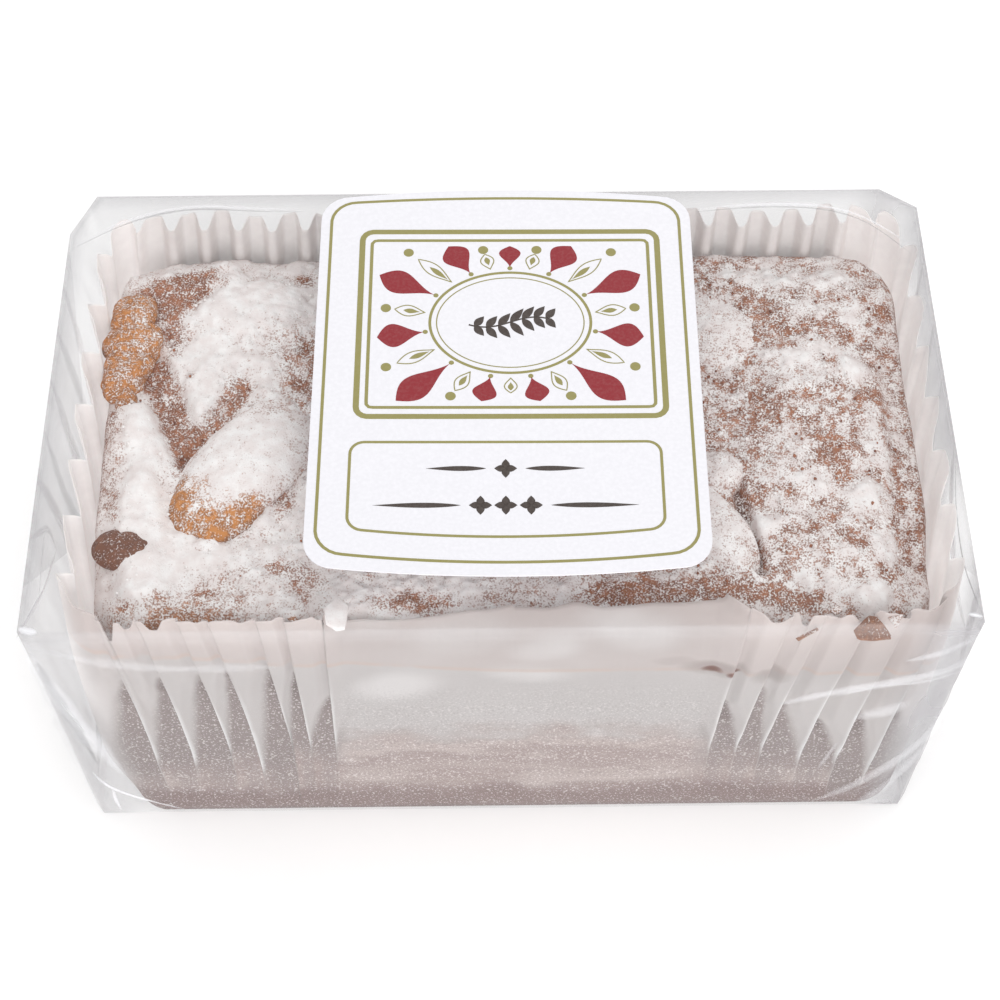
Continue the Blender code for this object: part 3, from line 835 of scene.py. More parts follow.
def paper_material(settings):
    """Greaseproof paper. u counts pleats and v is the height in mm: a dark stripe starts at a pleat's tip and
    widens downwards where the valley lies on the crumb, until the pale flap beside it ends in a point. A
    painted highlight runs along each flap's folded edge. Low down all of it is buttery. Light scatters under
    its surface, and its ends also give off a faint painted light from part way up, standing in for light that
    passes through them."""
    finish = Finish("greaseproof_paper")
    place = finish.node("ShaderNodeUVMap", {"uv_map": "UVMap"})
    u = finish.node("ShaderNodeSeparateXYZ", None, {0: place})
    v = finish.node("ShaderNodeSeparateXYZ", None, {0: place}, output=1) * 100
    here = finish.node("ShaderNodeTexCoord", output="Object")
    x = finish.node("ShaderNodeSeparateXYZ", None, {0: here}) / MM
    smooth, front, cloud = (finish.attribute(name) for name in ("smooth", "front", "cloud"))
    tip, point = (finish.attribute(name) * 100 for name in ("tip", "point"))
    wander = finish.noise(110, 3.0) - 0.5
    cockle = finish.noise(48, 3.0, 0.6, (1.0, 1.0, 3.2)) - 0.5
    grit = finish.noise(2400, 1.0)
    pleated = 1 - smooth
    width = ((tip + wander * 7 - v) / (tip - point)).at_least(0).at_most(1.08) ** 0.6
    phase = (u + wander * 0.10).fraction()
    inside = phase.eased(0.0, 0.03) * (width - phase).eased(-0.08, 0.24)
    stripe = inside * v.eased(1, 8) * pleated * front
    deep = stripe * (v - tip + 13).eased(0, 8) * wander.eased(-0.1, 0.12)
    # Painted highlight: a near-white line along the folded edge of each flap on the front
    painted_fold_highlight = phase.eased(0.82, 0.97) * (v - point).eased(-4, 2) * (1 - v.eased(38, 52)) * pleated * front
    low = (v + wander * 16 - point).eased(2, -12) * pleated
    low = low + (v + wander * 9 + cockle * 16).eased(33, 26) * smooth
    waves = (v * 0.55 + cockle * 14 + wander * 3).sine() * 0.5 + 0.5
    above = v - 57.6 + x.eased(-70, 10) * 7.0
    line = above.eased(-0.7, 0.0) * (1 - above.eased(0.1, 1.1)) * front * wander.eased(-0.22, 0.02)
    banded = phase.eased(0.0, 0.10) * (1 - phase.eased(0.45, 0.80)) * pleated
    stained = finish.layered(
        settings.stained,
        (waves * cockle.eased(-0.25, 0.2), linear(190, 173, 168)),
        (banded * 0.70, linear(155, 139, 136)),
        ((v + wander * 8).eased(12, 6) * 0.85, linear(116, 92, 88)),
    )
    layers = [
        (front * 0.75, linear(178, 170, 168)),
        (smooth * (1 - cloud) * v.eased(60, 42) * 0.9, linear(187, 180, 178)),
        (smooth * cloud * 0.7, linear(228, 221, 219)),
        (front * above.eased(-0.4, 0.6) * (1 - cloud * 0.5) * 0.50, settings.blush),
        (line * 0.50, linear(200, 172, 158)),
        (stripe * 0.90, settings.contact),
        (deep * 0.75, linear(98, 82, 79)),
        (low * 0.92, stained),
        # The painted highlight along the folded edges
        (painted_fold_highlight * 0.95, linear(250, 248, 247)),
    ]
    for marks, tone in ((LIP_HAZE_MM, (134, 118, 114)), (LIPS_MM, (106, 66, 54))):
        total = 0
        for mark_x, mark_z, half_x, half_z, strength in marks:
            far = ((x - mark_x) / half_x) ** 2 + ((v + wander * 4 - mark_z) / half_z) ** 2
            total = total + far.eased(1.0, 0.0) * strength
        layers.append(((total * front).at_most(1.0), linear(*tone)))
    dusty = low.at_least(stripe).at_least(smooth * (1 - v.eased(34, 52)) * 0.7)
    layers.append((grit.eased(0.58, 0.68) * dusty * 0.60, linear(236, 228, 226)))
    layers.append((grit.eased(0.42, 0.32) * dusty * 0.36, linear(116, 98, 95)))
    # Painted light: the ends emit a faint light from part way up, standing in for light that passes through
    # the paper
    painted_glow = abs(x).eased(66, 76) * (1 - front) * v.eased(28, 46) * (1 - v.eased(52, 66) * 0.55)
    plain = finish.mottled(420, 3.0, 0.25, 0.8, linear(220, 212, 210), settings.paper)
    return finish.finished(
        Base_Color=finish.layered(plain, *layers), Roughness=0.62 - stripe * 0.2,
        Normal=finish.bump(finish.noise(500, 3.0), 0.00012, 0.5), IOR=1.4,
        Subsurface_Weight=0.62, Subsurface_Radius=(1.0, 0.96, 0.94), Subsurface_Scale=0.0012,
        Emission_Color=finish.blend(painted_glow, (0.0, 0.0, 0.0), (1.0, 0.97, 0.96)), Emission_Strength=0.30,
    )


# The film

# Its corners seen from above, each as its cut along X and along Y
BACK_LEFT_CUT_TOP_MM = (4.5, 10.0)
BACK_RIGHT_CUT_TOP_MM = (7.0, 5.0)
FRONT_CUT_TOP_MM = (1.2, 2.0)
BACK_CUT_AT_BASE_MM = (6.0, 7.0)
FRONT_CUT_AT_BASE_MM = (1.6, 2.2)
TOP_SAG_MM = 1.0
SAG_LENGTH_MM = 170.0
SIDE_SWELL_MM = 1.0
END_PINCH_MM = 0.35
EDGE_ROUND_MM = 1.0
FLAP_LIFT_MM = 0.6
BASE_LENGTH_MM = 164.8
BASE_DEPTH_MM = 99.0
FILM_STEPS = (170, 4, 96, 10, 170, 10, 96, 4)
FILM_ROWS = 46
TOP_LENGTH_MM = (WRAP_HIGH.x - WRAP_LOW.x) / MM - FLAP_LIFT_MM
TOP_DEPTH_MM = 103.6
TOP_HEIGHT_MM = WRAP_HIGH.z / MM
# How far in the end walls' haze starts and is full
END_HAZE_MM = (71, 79)


def film_top(x, y):
    """Height in mm of the film's top panel: flat, less a sag that is a product of two parabolas."""
    across = np.clip(1 - (2 * x / SAG_LENGTH_MM) ** 2, 0, 1)
    along = np.clip(1 - (2 * y / TOP_DEPTH_MM) ** 2, 0, 1)
    return TOP_HEIGHT_MM - TOP_SAG_MM * across * along


def film_outline(share, inset):
    """The film from above in mm, share of the way up: a box with its corners cut off, anticlockwise from the
    front left, with a fixed number of points to each side."""
    half_x = mixed(BASE_LENGTH_MM, TOP_LENGTH_MM, share) / 2 - inset
    half_y = mixed(BASE_DEPTH_MM, TOP_DEPTH_MM, share) / 2 - inset
    front, left, right = ([mixed(*pair, share) for pair in zip(*cuts)] for cuts in (
        (FRONT_CUT_AT_BASE_MM, FRONT_CUT_TOP_MM), (BACK_CUT_AT_BASE_MM, BACK_LEFT_CUT_TOP_MM),
        (BACK_CUT_AT_BASE_MM, BACK_RIGHT_CUT_TOP_MM)))
    corners = np.array([
        (front[0] - half_x, -half_y), (half_x - front[0], -half_y), (half_x, front[1] - half_y),
        (half_x, half_y - right[1]), (half_x - right[0], half_y), (left[0] - half_x, half_y),
        (-half_x, half_y - left[1]), (-half_x, front[1] - half_y), (front[0] - half_x, -half_y)])
    steps = np.concatenate([side + np.arange(count) / count for side, count in enumerate(FILM_STEPS)])
    return [np.interp(steps, range(len(corners)), corners[:, axis]) for axis in (0, 1)]


def film_material(settings):
    """Thin clear film. It hides what is behind it only as far as its haze and its slope to the eye say. Where
    the attribute is set, its haze takes a near-white painted highlight in place of the tint."""
    finish = Finish("clear_film")
    facing = finish.node("ShaderNodeLayerWeight", None, {"Blend": 0.30}, output="Facing")
    share = (finish.attribute("haze") + facing * 0.05).at_most(0.95)
    tone = finish.blend(finish.attribute("painted_gleam"), settings.tint, settings.painted_gleam)
    material = finish.finished(Base_Color=tone, Roughness=0.20, IOR=1.45)
    clear, solid = finish.node("ShaderNodeBsdfTransparent"), Wire(finish, finish.shader.outputs[0])
    veil = finish.node("ShaderNodeMixShader", None, {0: share, 1: clear, 2: solid})
    finish.put(finish.tree.nodes["Material Output"].inputs["Surface"], veil)
    return material


# Where the film is pulled tight and clear at its right end, as (y, z, half width, half height, degrees) in
# the wall, and in y alone on the top
CLEAR_GAP_MM = (-28.0, 66.0, 15.0, 12.0, 0)
CLEAR_GAP_TOP_MM = (-28.0, 0.0, 15.0, 9.0, 0)


def build_film(settings, material):
    """The film as rows of points: out over the base, up the walls, and in over the top to its middle. The
    long walls swell, the ends draw in, and creases are shallow noise, inwards only. The haze gathers at the
    edges, the ends and the back."""
    rows, hazes = [], []
    haze = settings.haze

    def add(x, y, z, veil):
        """One ring, with its haze."""
        rows.append(np.stack([x, y, z + 0 * x], -1))
        hazes.append(np.clip(veil + 0 * x, 0, 1))

    base_x, base_y = film_outline(0, EDGE_ROUND_MM)
    for share in (0.3, 0.7, 1.0):
        add(base_x * share, base_y * share, 0.0, haze * 2)
    for share in np.linspace(0, 1, FILM_ROWS):
        x, y = film_outline(share, 0.0)
        z = mixed(EDGE_ROUND_MM, TOP_HEIGHT_MM - EDGE_ROUND_MM, share)
        belly = math.sin(math.pi * share)
        across_x, across_y = 2 * x / TOP_LENGTH_MM, 2 * y / TOP_DEPTH_MM
        out_y = np.sign(y) * SIDE_SWELL_MM * belly * np.clip(1 - across_x ** 2, 0, 1) * np.abs(across_y) ** 4
        in_x = np.sign(x) * END_PINCH_MM * belly * np.clip(1 - across_y ** 2, 0, 1) * np.abs(across_x) ** 8
        end = ease(*END_HAZE_MM, np.abs(x))
        crease = 0.5 * belly * value_noise(x + 0.6 * y, z * 0.8 + 0 * x, mixed(9.0, 5.0, end), 51)
        strand = value_noise(y + 0.12 * z + 30 * np.sign(x), z * 0.12 + 0 * y, 2.2, 52)
        gap = end * (x > 0) * patch(y, z + 0 * y, CLEAR_GAP_MM)
        wall = mixed(1.0 + 4.0 * ease(0, 40, y), (3.4 + 4.4 * (x > 0) + 3.4 * strand ** 2) * (1 - gap), end)
        add(x - in_x - np.sign(x) * crease * end, y + out_y - np.sign(y) * crease * (1 - end), z,
            haze * (wall + 1.6 * ease(0.97, 1.0, share) * (1 - gap)))
    edge_x, edge_y = film_outline(1, EDGE_ROUND_MM)
    for share in np.concatenate([np.linspace(1, 0.55, 40), np.linspace(0.55, 0.1, 8)[1:]]):
        x, y = edge_x * share, edge_y * share
        clear = 1 - (x > 78) * patch(y, 0 * y, CLEAR_GAP_TOP_MM)
        ring = np.maximum(ease(80, 83, np.abs(x)) * clear, ease(46, 50, y))
        add(x, y, film_top(x, y), haze * (0.6 + 5.0 * ring + 3.0 * (ease(0.985, 1.0, share) * clear)))
    rows = np.array(rows)
    # Painted sheen: the film's front wall takes most of the near-white painted highlight, and the rest a
    # little
    painted_gleam = 0.75 * ease(-44, -48, rows[..., 1]) * ease(80, 70, np.abs(rows[..., 0])) + 0.15
    skin = Skin()
    skin.loft(rows * MM, {"haze": np.array(hazes), "painted_gleam": np.minimum(painted_gleam, 1)})
    return settle(skin.piece("film", material, 32), "film", "wrap")


def film_end(z, side):
    """Where in mm the middle of an end of the film stands at a height."""
    share = z / TOP_HEIGHT_MM
    pinch = END_PINCH_MM * np.sin(np.pi * np.clip(share, 0, 1))
    return side * (mixed(BASE_LENGTH_MM, TOP_LENGTH_MM, share) / 2 - pinch)


# Flaps folded over each end, as (height, half width there, height of the tip, half width there, how far it
# stands out, haze)
END_FLAPS_MM = ((73.6, 40.5, 35.4, 5, 0.2, 0.08), (1.6, 42, 34.8, 5, 0.2, 0.08))
FLAP_ROWS = 24
FLAP_POINTS = 9
FLAP_THICKNESS_MM = 0.06


def build_flaps(material):
    """The folded flaps, as thin plates between a wide edge and a blunt tip that follow the film's end."""
    skin = Skin()
    across = np.linspace(-1, 1, FLAP_POINTS)[None]
    for side in (-1, 1):
        for start, half_start, end, half_end, lift, haze in END_FLAPS_MM:
            low, high = sorted(((start, half_start), (end, half_end)))
            z, half = (np.linspace(low[part], high[part], FLAP_ROWS)[:, None] for part in (0, 1))
            outer = film_end(z, side) + side * lift + 0 * across
            y = side * half * across
            ring_x = np.concatenate([outer, (outer - side * FLAP_THICKNESS_MM)[:, ::-1]], 1)
            ring_y = np.concatenate([y, y[:, ::-1]], 1)
            # The flaps take half of the painted highlight
            skin.loft(np.stack([ring_x, ring_y, z + 0 * ring_x], -1) * MM, {"haze": haze, "painted_gleam": 0.5})
    return settle(skin.piece("film_flaps", material, 32), "film", "wrap")


# Creases, each as its face, how much near-white painted highlight it takes (at 0 it keeps the tint, as a
# painted shadow line), how much it hides, its half width, and points on the face: x and z on the front, y and
# z on an end, x and y on the top
CREASES_MM = (
    ("front", 1, 0.24, 1.5, ((84, 66), (82.5, 60.5), (77, 57.6), (68.7, 54.6), (58.8, 51.6), (50.5, 47.6))),
    ("front", 1, 0.2, 0.6, ((84, 60.5), (77.5, 55.2), (68, 54.4), (60, 49.5))),
    ("front", 1, 0.16, 1.4, ((83.2, 47), (82, 33.5), (77.5, 22.5), (70, 9.5), (63, 3))),
    ("front", 1, 0.14, 1.4, ((82.2, 30), (79, 17), (76.2, 8), (72, 2))),
    ("front", 1, 0.16, 2.4, ((75, 47.7), (72, 44), (66, 41.5))),
    ("front", 1, 0.12, 0.7, ((64.4, 31), (63.4, 26), (62.2, 19))),
    ("front", 1, 0.6, 0.5, ((-80.2, 22), (-78.4, 14.5), (-75, 10.5), (-70, 6.5), (-64, 2.5))),
    ("front", 1, 0.5, 0.4, ((-77.2, 13), (-77.4, 8), (-77, 2.2))),
    ("front", 1, 0.28, 2.2, ((-83.2, 70), (-80.6, 50), (-77.5, 34), (-74, 20))),
    ("front", 0.3, 0.1, 2.6, ((-82.8, 66), (-81.6, 45), (-80.4, 20), (-80, 6))),
    ("front", 1, 0.1, 1.8, ((-84, 73), (-72, 66), (-58, 63.5), (-40, 64.5))),
    ("front", 1, 0.22, 1.2, ((84.2, 73), (78, 66), (72, 63.5))),
    ("left", 1, 0.7, 0.5, ((-51, 74), (-44, 68.6), (-33, 60.7), (-21, 56))),
    ("left", 1, 0.34, 0.7, ((-21, 56), (-20.6, 63), (-30, 73.5))),
    ("left", 0.5, 0.22, 1.4, ((-47.5, 60), (-47, 49), (-44.5, 34), (-42, 22), (-40, 4))),
    ("left", 1, 0.8, 0.35, ((-24, 65.2), (-30, 64.4), (-36, 63.6))),
    ("left", 1, 0.4, 2.4, ((5.6, 74), (5, 60), (3, 40), (4, 12))),
    ("left", 1, 0.38, 2, ((-17.6, 74), (-14, 60), (-15, 34), (-12, 10))),
    ("left", 0.2, 0.12, 1.8, ((-6, 74), (-8, 56), (-4, 30))),
    ("left", 1, 0.34, 2, ((28.5, 74), (27, 55), (22, 24))),
    ("left", 0.2, 0.12, 2, ((17, 74), (18.5, 52), (14, 22))),
    ("right", 0.1, 0.5, 0.35, ((-12, 74), (-20, 68), (-33, 66.5), (-43, 71), (-50, 74))),
    ("right", 1, 0.5, 1.8, ((-10, 74), (-19, 65), (-34, 60), (-44, 62))),
    ("right", 0.6, 0.4, 1.8, ((-43, 74), (-45, 66), (-47, 56))),
    ("right", 0.4, 0.16, 1, ((6, 74), (-2, 60), (-8, 44), (-14, 20))),
    ("right", 1, 0.36, 2, ((18, 74), (12, 58), (9, 34), (4, 10))),
    ("right", 1, 0.3, 1.6, ((34, 74), (30, 60), (31, 36))),
    ("top", 1, 0.34, 0.35, ((-83, 38), (-77, 42.5), (-70, 46.2), (-60, 48.6), (-50, 47.4), (-38, 47))),
    ("top", 0, 0.26, 0.3, ((-83.6, 37), (-77.5, 41.6), (-70.5, 45.4), (-60, 47.9), (-50, 46.6), (-38, 46.4))),
    ("top", 1, 0.4, 0.4, ((40, 46), (52, 47.4), (66, 47), (74, 44), (82, 36))),
    ("top", 0, 0.24, 0.3, ((40, 45.4), (52, 46.7), (66, 46.2), (74, 43), (81.6, 34))),
    ("top", 1, 0.9, 0.7, ((-84.2, -49.6), (-82.4, -50.2), (-80.8, -50.6))),
    ("top", 1, 0.8, 0.6, ((84.2, -49.4), (82.8, -49), (81.6, -48.8))),
)
CREASE_POINTS = 60
CREASE_COLUMNS = 12
CREASE_SMOOTHINGS = 60


def crease_place(face, first, second, lift):
    """Points in mm on a face of the film, lift above it."""
    if face == "top":
        return first, second, film_top(first, second) + lift
    share = second / TOP_HEIGHT_MM
    if face == "front":
        belly = SIDE_SWELL_MM * np.sin(np.pi * share) * np.clip(1 - (2 * first / TOP_LENGTH_MM) ** 2, 0, 1)
        return first, -mixed(BASE_DEPTH_MM, TOP_DEPTH_MM, share) / 2 - belly - lift, second
    side = 1 if face == "right" else -1
    return film_end(second, side) + side * lift, first, second


def build_creases(material):
    """Creases of the film as ribbons with the section of a thin lens. Each follows a smooth curve near its
    points, tapers to both ends, and hides most along its middle. White creases are painted highlights, and
    the others painted shadow lines."""
    skin = Skin()
    around = np.linspace(0, 2 * np.pi, CREASE_COLUMNS, endpoint=False)[None]
    share = np.linspace(0, 1, CREASE_POINTS)
    for number, (face, painted_gleam, haze, half_width, points) in enumerate(CREASES_MM):
        points = np.array(points, float)
        gone = np.concatenate([[0], np.cumsum(np.hypot(*np.diff(points, axis=0).T))])
        where = np.linspace(0, gone[-1], CREASE_POINTS)
        path = np.stack([np.interp(where, gone, points[:, axis]) for axis in (0, 1)], -1)
        for _ in range(CREASE_SMOOTHINGS):
            path[1:-1] = 0.5 * path[1:-1] + 0.25 * (path[2:] + path[:-2])
        run = np.gradient(path, axis=0)
        run = run / np.hypot(run[:, 0], run[:, 1])[:, None]
        wander = 1 + 0.5 * layered_noise(where, 0 * where + 7 * number, 5.0, 81, 2)
        half = half_width * wander * np.sin(np.pi * np.clip(share, 0.02, 0.98)) ** 0.4
        across = half[:, None] * np.cos(around)
        first = path[:, :1] - run[:, 1:] * across
        second = path[:, 1:] + run[:, :1] * across
        if face != "top":
            second = np.clip(second, 1.2, TOP_HEIGHT_MM - 1.0)
        place = crease_place(face, first, second, 0.05 + 0.04 * np.sin(around) + 0 * across)
        veil = haze * (1 - np.abs(np.cos(around)) ** 1.5) * np.sin(np.pi * share)[:, None] ** 0.5
        skin.loft(np.stack(np.broadcast_arrays(*place), -1) * MM, {"haze": veil, "painted_gleam": painted_gleam})
    return settle(skin.piece("film_creases", material, 60), "film", "wrap")


# The label's print

LABEL_MIDDLE_MM = (1.7, 5.5)
LABEL_TURN = math.radians(-0.55)
LABEL_RISE_MM = 0.6
INK_LOW_MM = -0.02
INK_HIGH_MM = 0.03


def label_place(x, y, lift):
    """Points in mm on the label, from its own middle, as metres in the pack's frame."""
    cosine, sine = math.cos(LABEL_TURN), math.sin(LABEL_TURN)
    turned_x = LABEL_MIDDLE_MM[0] + x * cosine - y * sine
    turned_y = LABEL_MIDDLE_MM[1] + x * sine + y * cosine
    return np.stack([turned_x, turned_y, film_top(turned_x, turned_y) + LABEL_RISE_MM + lift], -1) * MM


def inked_line(skin, x, y, width, closed=True):
    """A flat printed line: a low box carried along a path, widest across it."""
    run_x, run_y = (np.roll(v, -1) - np.roll(v, 1) if closed else np.gradient(v) for v in (x, y))
    length = np.hypot(run_x, run_y)
    side_x, side_y = -run_y / length * width / 2, run_x / length * width / 2
    corners = ((1, INK_LOW_MM), (-1, INK_LOW_MM), (-1, INK_HIGH_MM), (1, INK_HIGH_MM))
    rows = np.stack([label_place(x + side_x * s, y + side_y * s, lift) for s, lift in corners], 1)
    skin.loft(rows, ring=closed)


def inked_shape(skin, x, y):
    """A flat printed shape inside an outline that runs anticlockwise."""
    skin.loft(np.stack([label_place(x, y, INK_LOW_MM), label_place(x, y, INK_HIGH_MM)]))


def bowed_frame(low_x, high_x, low_y, high_y, radius, bow_low=0.0, bow_high=0.0, points=240):
    """A rounded rectangle whose foot and head bow out as parabolas."""
    x, y = round_outline(np.arange(points) / points, low_x, high_x, low_y, high_y, radius)
    middle, half = (low_x + high_x) / 2, (high_x - low_x) / 2
    bulge = np.clip(1 - ((x - middle) / half) ** 2, 0, 1)
    share = (y - low_y) / (high_y - low_y)
    return x, y + bulge * (bow_high * ease(0.7, 1, share) - bow_low * (1 - ease(0, 0.3, share)))


def petal(x, y, length, width, turn, bulge=0.8, points=28):
    """A leaf shape from a point. Its half width is the sine of the way along raised to a power: below 1 it is
    widest near its root, and above 1 near its tip."""
    share = np.linspace(0, 1, points)
    half = width / 2 * np.sin(np.pi * share ** bulge)
    along = np.concatenate([share, share[-2:0:-1]]) * length
    across = np.concatenate([-half, half[-2:0:-1]])
    cosine, sine = math.cos(math.radians(turn)), math.sin(math.radians(turn))
    return x + along * cosine - across * sine, y + along * sine + across * cosine


def ellipse(x, y, half_x, half_y, points=96):
    """Points round an ellipse, anticlockwise."""
    turn = np.linspace(0, 2 * np.pi, points, endpoint=False)
    return x + half_x * np.cos(turn), y + half_y * np.sin(turn)


def ink_material(name, colour):
    """Ink with the faint mottle of paper under it."""
    finish = Finish(name)
    mottle = finish.noise(1800, 2.0).eased(0.35, 0.75) * 0.03
    tone = finish.blend(mottle, colour, linear(240, 236, 230))
    grain = finish.bump(finish.noise(900, 2.0), 0.00003)
    return finish.finished(Base_Color=tone, Roughness=0.42, Normal=grain)


OUTER_FRAME_MM = (-34.6, 34.4, -40.2, 42.0, 4.6, 2.4, 1.4)
PANEL_FRAME_MM = (-28.3, 29.8, -10.1, 34.8, 2.2)
PICTURE_FRAME_MM = (-26.4, 27.9, -8.0, 32.6, 1.0)
FOOT_FRAME_MM = (-29.0, 28.4, -35.3, -16.0, 2.6, 1.8, 0.0)
PLAQUE_MM = (15.5, 12.2)
RAYS = 22
SPRIG_POINTS = 30
# Rules of the foot, as (y, half length, beads)
RULES_MM = ((-22.0, 15.0, 1), (-30.2, 20.0, 3))


def build_print(settings):
    """The frames. The picture is an oval plaque with a sprig, and petals that ray out from it to the frame,
    red drops between slim outlined ones. The foot has beaded rules."""
    gold, red, dark = Skin(), Skin(), Skin()
    for frame_mm, width in ((OUTER_FRAME_MM, 0.60), (PANEL_FRAME_MM, 1.15), (PICTURE_FRAME_MM, 0.65),
                            (FOOT_FRAME_MM, 0.55)):
        inked_line(gold, *bowed_frame(*frame_mm), width)
    low_x, high_x, low_y, high_y, _ = PICTURE_FRAME_MM
    middle_x, middle_y = (low_x + high_x) / 2, (low_y + high_y) / 2
    half_x, half_y = (high_x - low_x) / 2 - 1.2, (high_y - low_y) / 2 - 1.2
    for inset, width in ((0, 0.55), (1.3, 0.22)):
        inked_line(gold, *ellipse(middle_x, middle_y, PLAQUE_MM[0] - inset, PLAQUE_MM[1] - inset), width)
    for ray in range(RAYS):
        angle = 2 * math.pi * (ray + 0.5) / RAYS
        turn = math.degrees(angle)
        cosine, sine = math.cos(angle), math.sin(angle)
        start = 1.2 + 1 / math.hypot(cosine / PLAQUE_MM[0], sine / PLAQUE_MM[1])
        room = min(half_x / max(abs(cosine), 1e-6), half_y / max(abs(sine), 1e-6)) - start
        x, y = middle_x + start * cosine, middle_y + start * sine
        if ray % 2:
            inked_shape(red, *petal(x, y, room * 0.96, min(5.6, 0.74 * room), turn, 1.7))
            inked_shape(gold, *ellipse(x - 0.1 * cosine, y - 0.1 * sine, 0.5, 0.5, 24))
            continue
        inked_line(gold, *petal(x, y, room * 0.62, min(2.6, 0.42 * room), turn, 1.2), 0.22)
        inked_shape(gold, *petal(x + cosine, y + sine, room * 0.34, min(1.1, 0.2 * room), turn, 1.3))
        if room > 6:
            far = start + room * 0.80
            inked_shape(gold, *ellipse(middle_x + far * cosine, middle_y + far * sine, 1.0, 1.0, 32))
    stem_x = middle_x + np.linspace(-8, 8, SPRIG_POINTS)
    stem_y = middle_y + 1.2 * np.sin(np.linspace(-2.6, 2.6, SPRIG_POINTS))
    inked_line(dark, stem_x, stem_y, 0.35, closed=False)
    for step in range(-3, 4):
        y = middle_y + 1.2 * math.sin(2.6 * step / 3.5)
        for turn in (52, -52):
            inked_shape(dark, *petal(middle_x + step * 2.3, y, 4.2 - 0.4 * abs(step), 1.6, turn))
    foot_x = (FOOT_FRAME_MM[0] + FOOT_FRAME_MM[1]) / 2
    for level, reach, beads in RULES_MM:
        for bead in range(beads):
            for turn in (0, 90, 180, 270):
                inked_shape(dark, *petal(foot_x + (bead - (beads - 1) / 2) * 4.6, level, 2.1, 1.5, turn))
        for end in (-1, 1):
            x = foot_x + end * (3.6 + 2.3 * (beads - 1))
            inked_shape(dark, *petal(x, level, reach - 4, 1.1, 90 - 90 * end))
    for name, skin in (("gold", gold), ("red", red), ("dark", dark)):
        material = ink_material("print_" + name, getattr(settings, name))
        settle(skin.piece("print_" + name, material, 30), "print")


def finish_label(settings):
    """Coated label paper, with faint fibres and a slight cockle."""
    finish = Finish("label_paper")
    tone = finish.mottled(1400, 3.0, 0.3, 0.8, linear(236, 235, 240), settings.paper)
    cockle = finish.bump(finish.noise(45, 2.0), 0.00025, 0.5)
    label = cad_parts["label"]
    label.data.materials.clear()
    label.data.materials.append(finish.finished(Base_Color=tone, Roughness=0.42, Normal=cockle, IOR=1.45))


# The stage

FLOOR_REACH = 3.0
LOOK_AT = (0.0004, 0.0033, 0.0350)
LAMP_TARGET = (0, 0, 0.03)
# Square soft lamps, as (name, place, side, power)
LAMPS = (
    ("key", (0.1, -0.35, 1.15), 0.9, 1.5),
    ("fill", (0.2, -1.0, 0.42), 0.8, 4.4),
    ("back", (0.2, 0.9, 0.8), 0.8, 1.4),
)


def build_stage(settings):
    """The pale floor, the white surroundings, the soft lamps and the camera."""
    scene = bpy.context.scene
    scene.view_settings.view_transform = "Standard"
    mesh = bpy.data.meshes.new("floor")
    corners = [(x * FLOOR_REACH, y * FLOOR_REACH, 0) for x, y in ((-1, -1), (1, -1), (1, 1), (-1, 1))]
    mesh.from_pydata(corners, [], [(0, 1, 2, 3)])
    finish = Finish("pale_floor")
    tone = finish.blend(finish.noise(3, 2.0).eased(0.3, 0.7) * 0.1, settings.floor, linear(244, 244, 245))
    mesh.materials.append(finish.finished(Base_Color=tone, Roughness=0.9, Emission_Color=(1.0, 1.0, 1.0),
                                          Emission_Strength=0.09))
    floor = add_object("floor", mesh)
    scene.world = bpy.data.worlds.new("studio")
    scene.world.use_nodes = True
    background = scene.world.node_tree.nodes["Background"]
    background.inputs["Color"].default_value = (1.0, 1.0, 1.0, 1.0)
    background.inputs["Strength"].default_value = 0.84
    for name, place, side, power in LAMPS:
        lamp = bpy.data.lights.new(name, "AREA")
        lamp.size = side
        lamp.energy = power
        aim(add_object(name, lamp), np.array(place, float), np.array(LAMP_TARGET, float))
    camera = bpy.data.cameras.new("camera")
    camera.lens = settings.lens
    camera.clip_start = 0.01
    level = math.cos(settings.elevation)
    away = np.array([math.sin(settings.azimuth) * level, -math.cos(settings.azimuth) * level,
                     math.sin(settings.elevation)])
    scene.camera = add_object("camera", camera)
    aim(scene.camera, np.array(LOOK_AT) + away * settings.distance, np.array(LOOK_AT))


def aim(thing, place, target):
    """Puts a camera or lamp at a place, with its -Z axis towards a target and its X axis level."""
    back = (place - target) / np.linalg.norm(place - target)
    right = np.cross((0, 0, 1), back)
    right = right / np.linalg.norm(right)
    up = np.cross(back, right)
    thing.matrix_world = Matrix(np.vstack([np.stack([right, up, back, place], 1), (0, 0, 0, 1)]).tolist())


class LOAF_OT_cake(bpy.types.Operator):
    """Bake the loaf, with its crust and sugar"""

    bl_idname = "loaf_cake.cake"
    bl_label = "Cake"

    def execute(self, context):
        settings = context.scene.cake_settings
        build_cake(settings, cake_material(settings))
        return {"FINISHED"}


class LOAF_OT_toppings(bpy.types.Operator):
    """Lay the lobes, flakes, sugar clumps and crumbs on the loaf"""

    bl_idname = "loaf_cake.toppings"
    bl_label = "Toppings"

    def execute(self, context):
        settings = context.scene.cake_settings
        material = bpy.data.materials.get("sugared_crust") or cake_material(settings)
        build_lobes(material)
        build_flakes(material)
        build_clumps(settings)
        return {"FINISHED"}


class LOAF_OT_case(bpy.types.Operator):
    """Fold the pleated paper case round the loaf"""

    bl_idname = "loaf_cake.case"
    bl_label = "Paper Case"

    def execute(self, context):
        build_case(context.scene.case_settings)
        return {"FINISHED"}


class LOAF_OT_film(bpy.types.Operator):
    """Close the clear film round the case, with its folded ends and creases"""

    bl_idname = "loaf_cake.film"
    bl_label = "Film"

    def execute(self, context):
        settings = context.scene.film_settings
        material = film_material(settings)
        build_film(settings, material)
        build_flaps(material)
        build_creases(material)
        return {"FINISHED"}


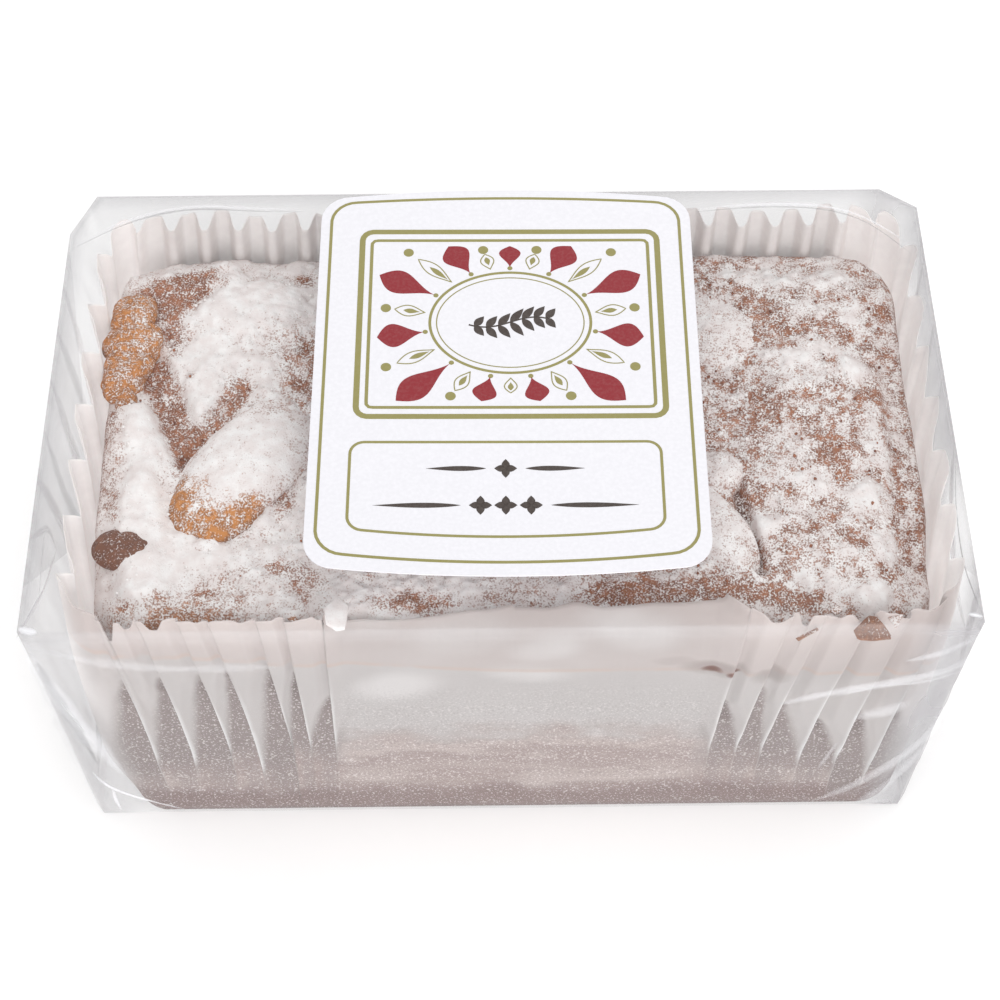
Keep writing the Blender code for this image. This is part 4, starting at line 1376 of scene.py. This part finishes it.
class LOAF_OT_label(bpy.types.Operator):
    """Finish the label's paper and print on it"""

    bl_idname = "loaf_cake.label"
    bl_label = "Label"

    def execute(self, context):
        finish_label(context.scene.label_settings)
        build_print(context.scene.label_settings)
        return {"FINISHED"}


class LOAF_OT_stage(bpy.types.Operator):
    """Set the floor, the soft light and the camera"""

    bl_idname = "loaf_cake.stage"
    bl_label = "Stage"

    def execute(self, context):
        build_stage(context.scene.stage_settings)
        return {"FINISHED"}


OPERATORS = (LOAF_OT_cake, LOAF_OT_toppings, LOAF_OT_case, LOAF_OT_film, LOAF_OT_label, LOAF_OT_stage)
SETTINGS = {
    "cake_settings": CakeSettings,
    "case_settings": CaseSettings,
    "film_settings": FilmSettings,
    "label_settings": LabelSettings,
    "stage_settings": StageSettings,
}


class LOAF_PT_panel(bpy.types.Panel):
    """Lists the pieces of the wrapped loaf cake"""

    bl_idname = "LOAF_PT_panel"
    bl_label = "Wrapped Loaf Cake"
    bl_space_type = "VIEW_3D"
    bl_region_type = "UI"
    bl_category = "Loaf Cake"

    def draw(self, context):
        for operator in OPERATORS:
            self.layout.operator(operator.bl_idname)
        for name, group in SETTINGS.items():
            box = self.layout.box()
            box.label(text=name.replace("_", " ").capitalize())
            for prop in group.__annotations__:
                box.prop(getattr(context.scene, name), prop)


def register():
    """Adds the settings, the operators and the panel to Blender."""
    for name, group in SETTINGS.items():
        bpy.utils.register_class(group)
        setattr(bpy.types.Scene, name, bpy.props.PointerProperty(type=group))
    for cls in (*OPERATORS, LOAF_PT_panel):
        bpy.utils.register_class(cls)


def unregister():
    """Takes them out again, in the opposite order."""
    for cls in (LOAF_PT_panel, *reversed(OPERATORS)):
        bpy.utils.unregister_class(cls)
    for name, group in reversed(SETTINGS.items()):
        delattr(bpy.types.Scene, name)
        bpy.utils.unregister_class(group)


def main():
    """Makes every piece in order."""
    register()
    for operator in OPERATORS:
        family, name = operator.bl_idname.split(".")
        getattr(getattr(bpy.ops, family), name)()


if __name__ == "__main__":
    main()
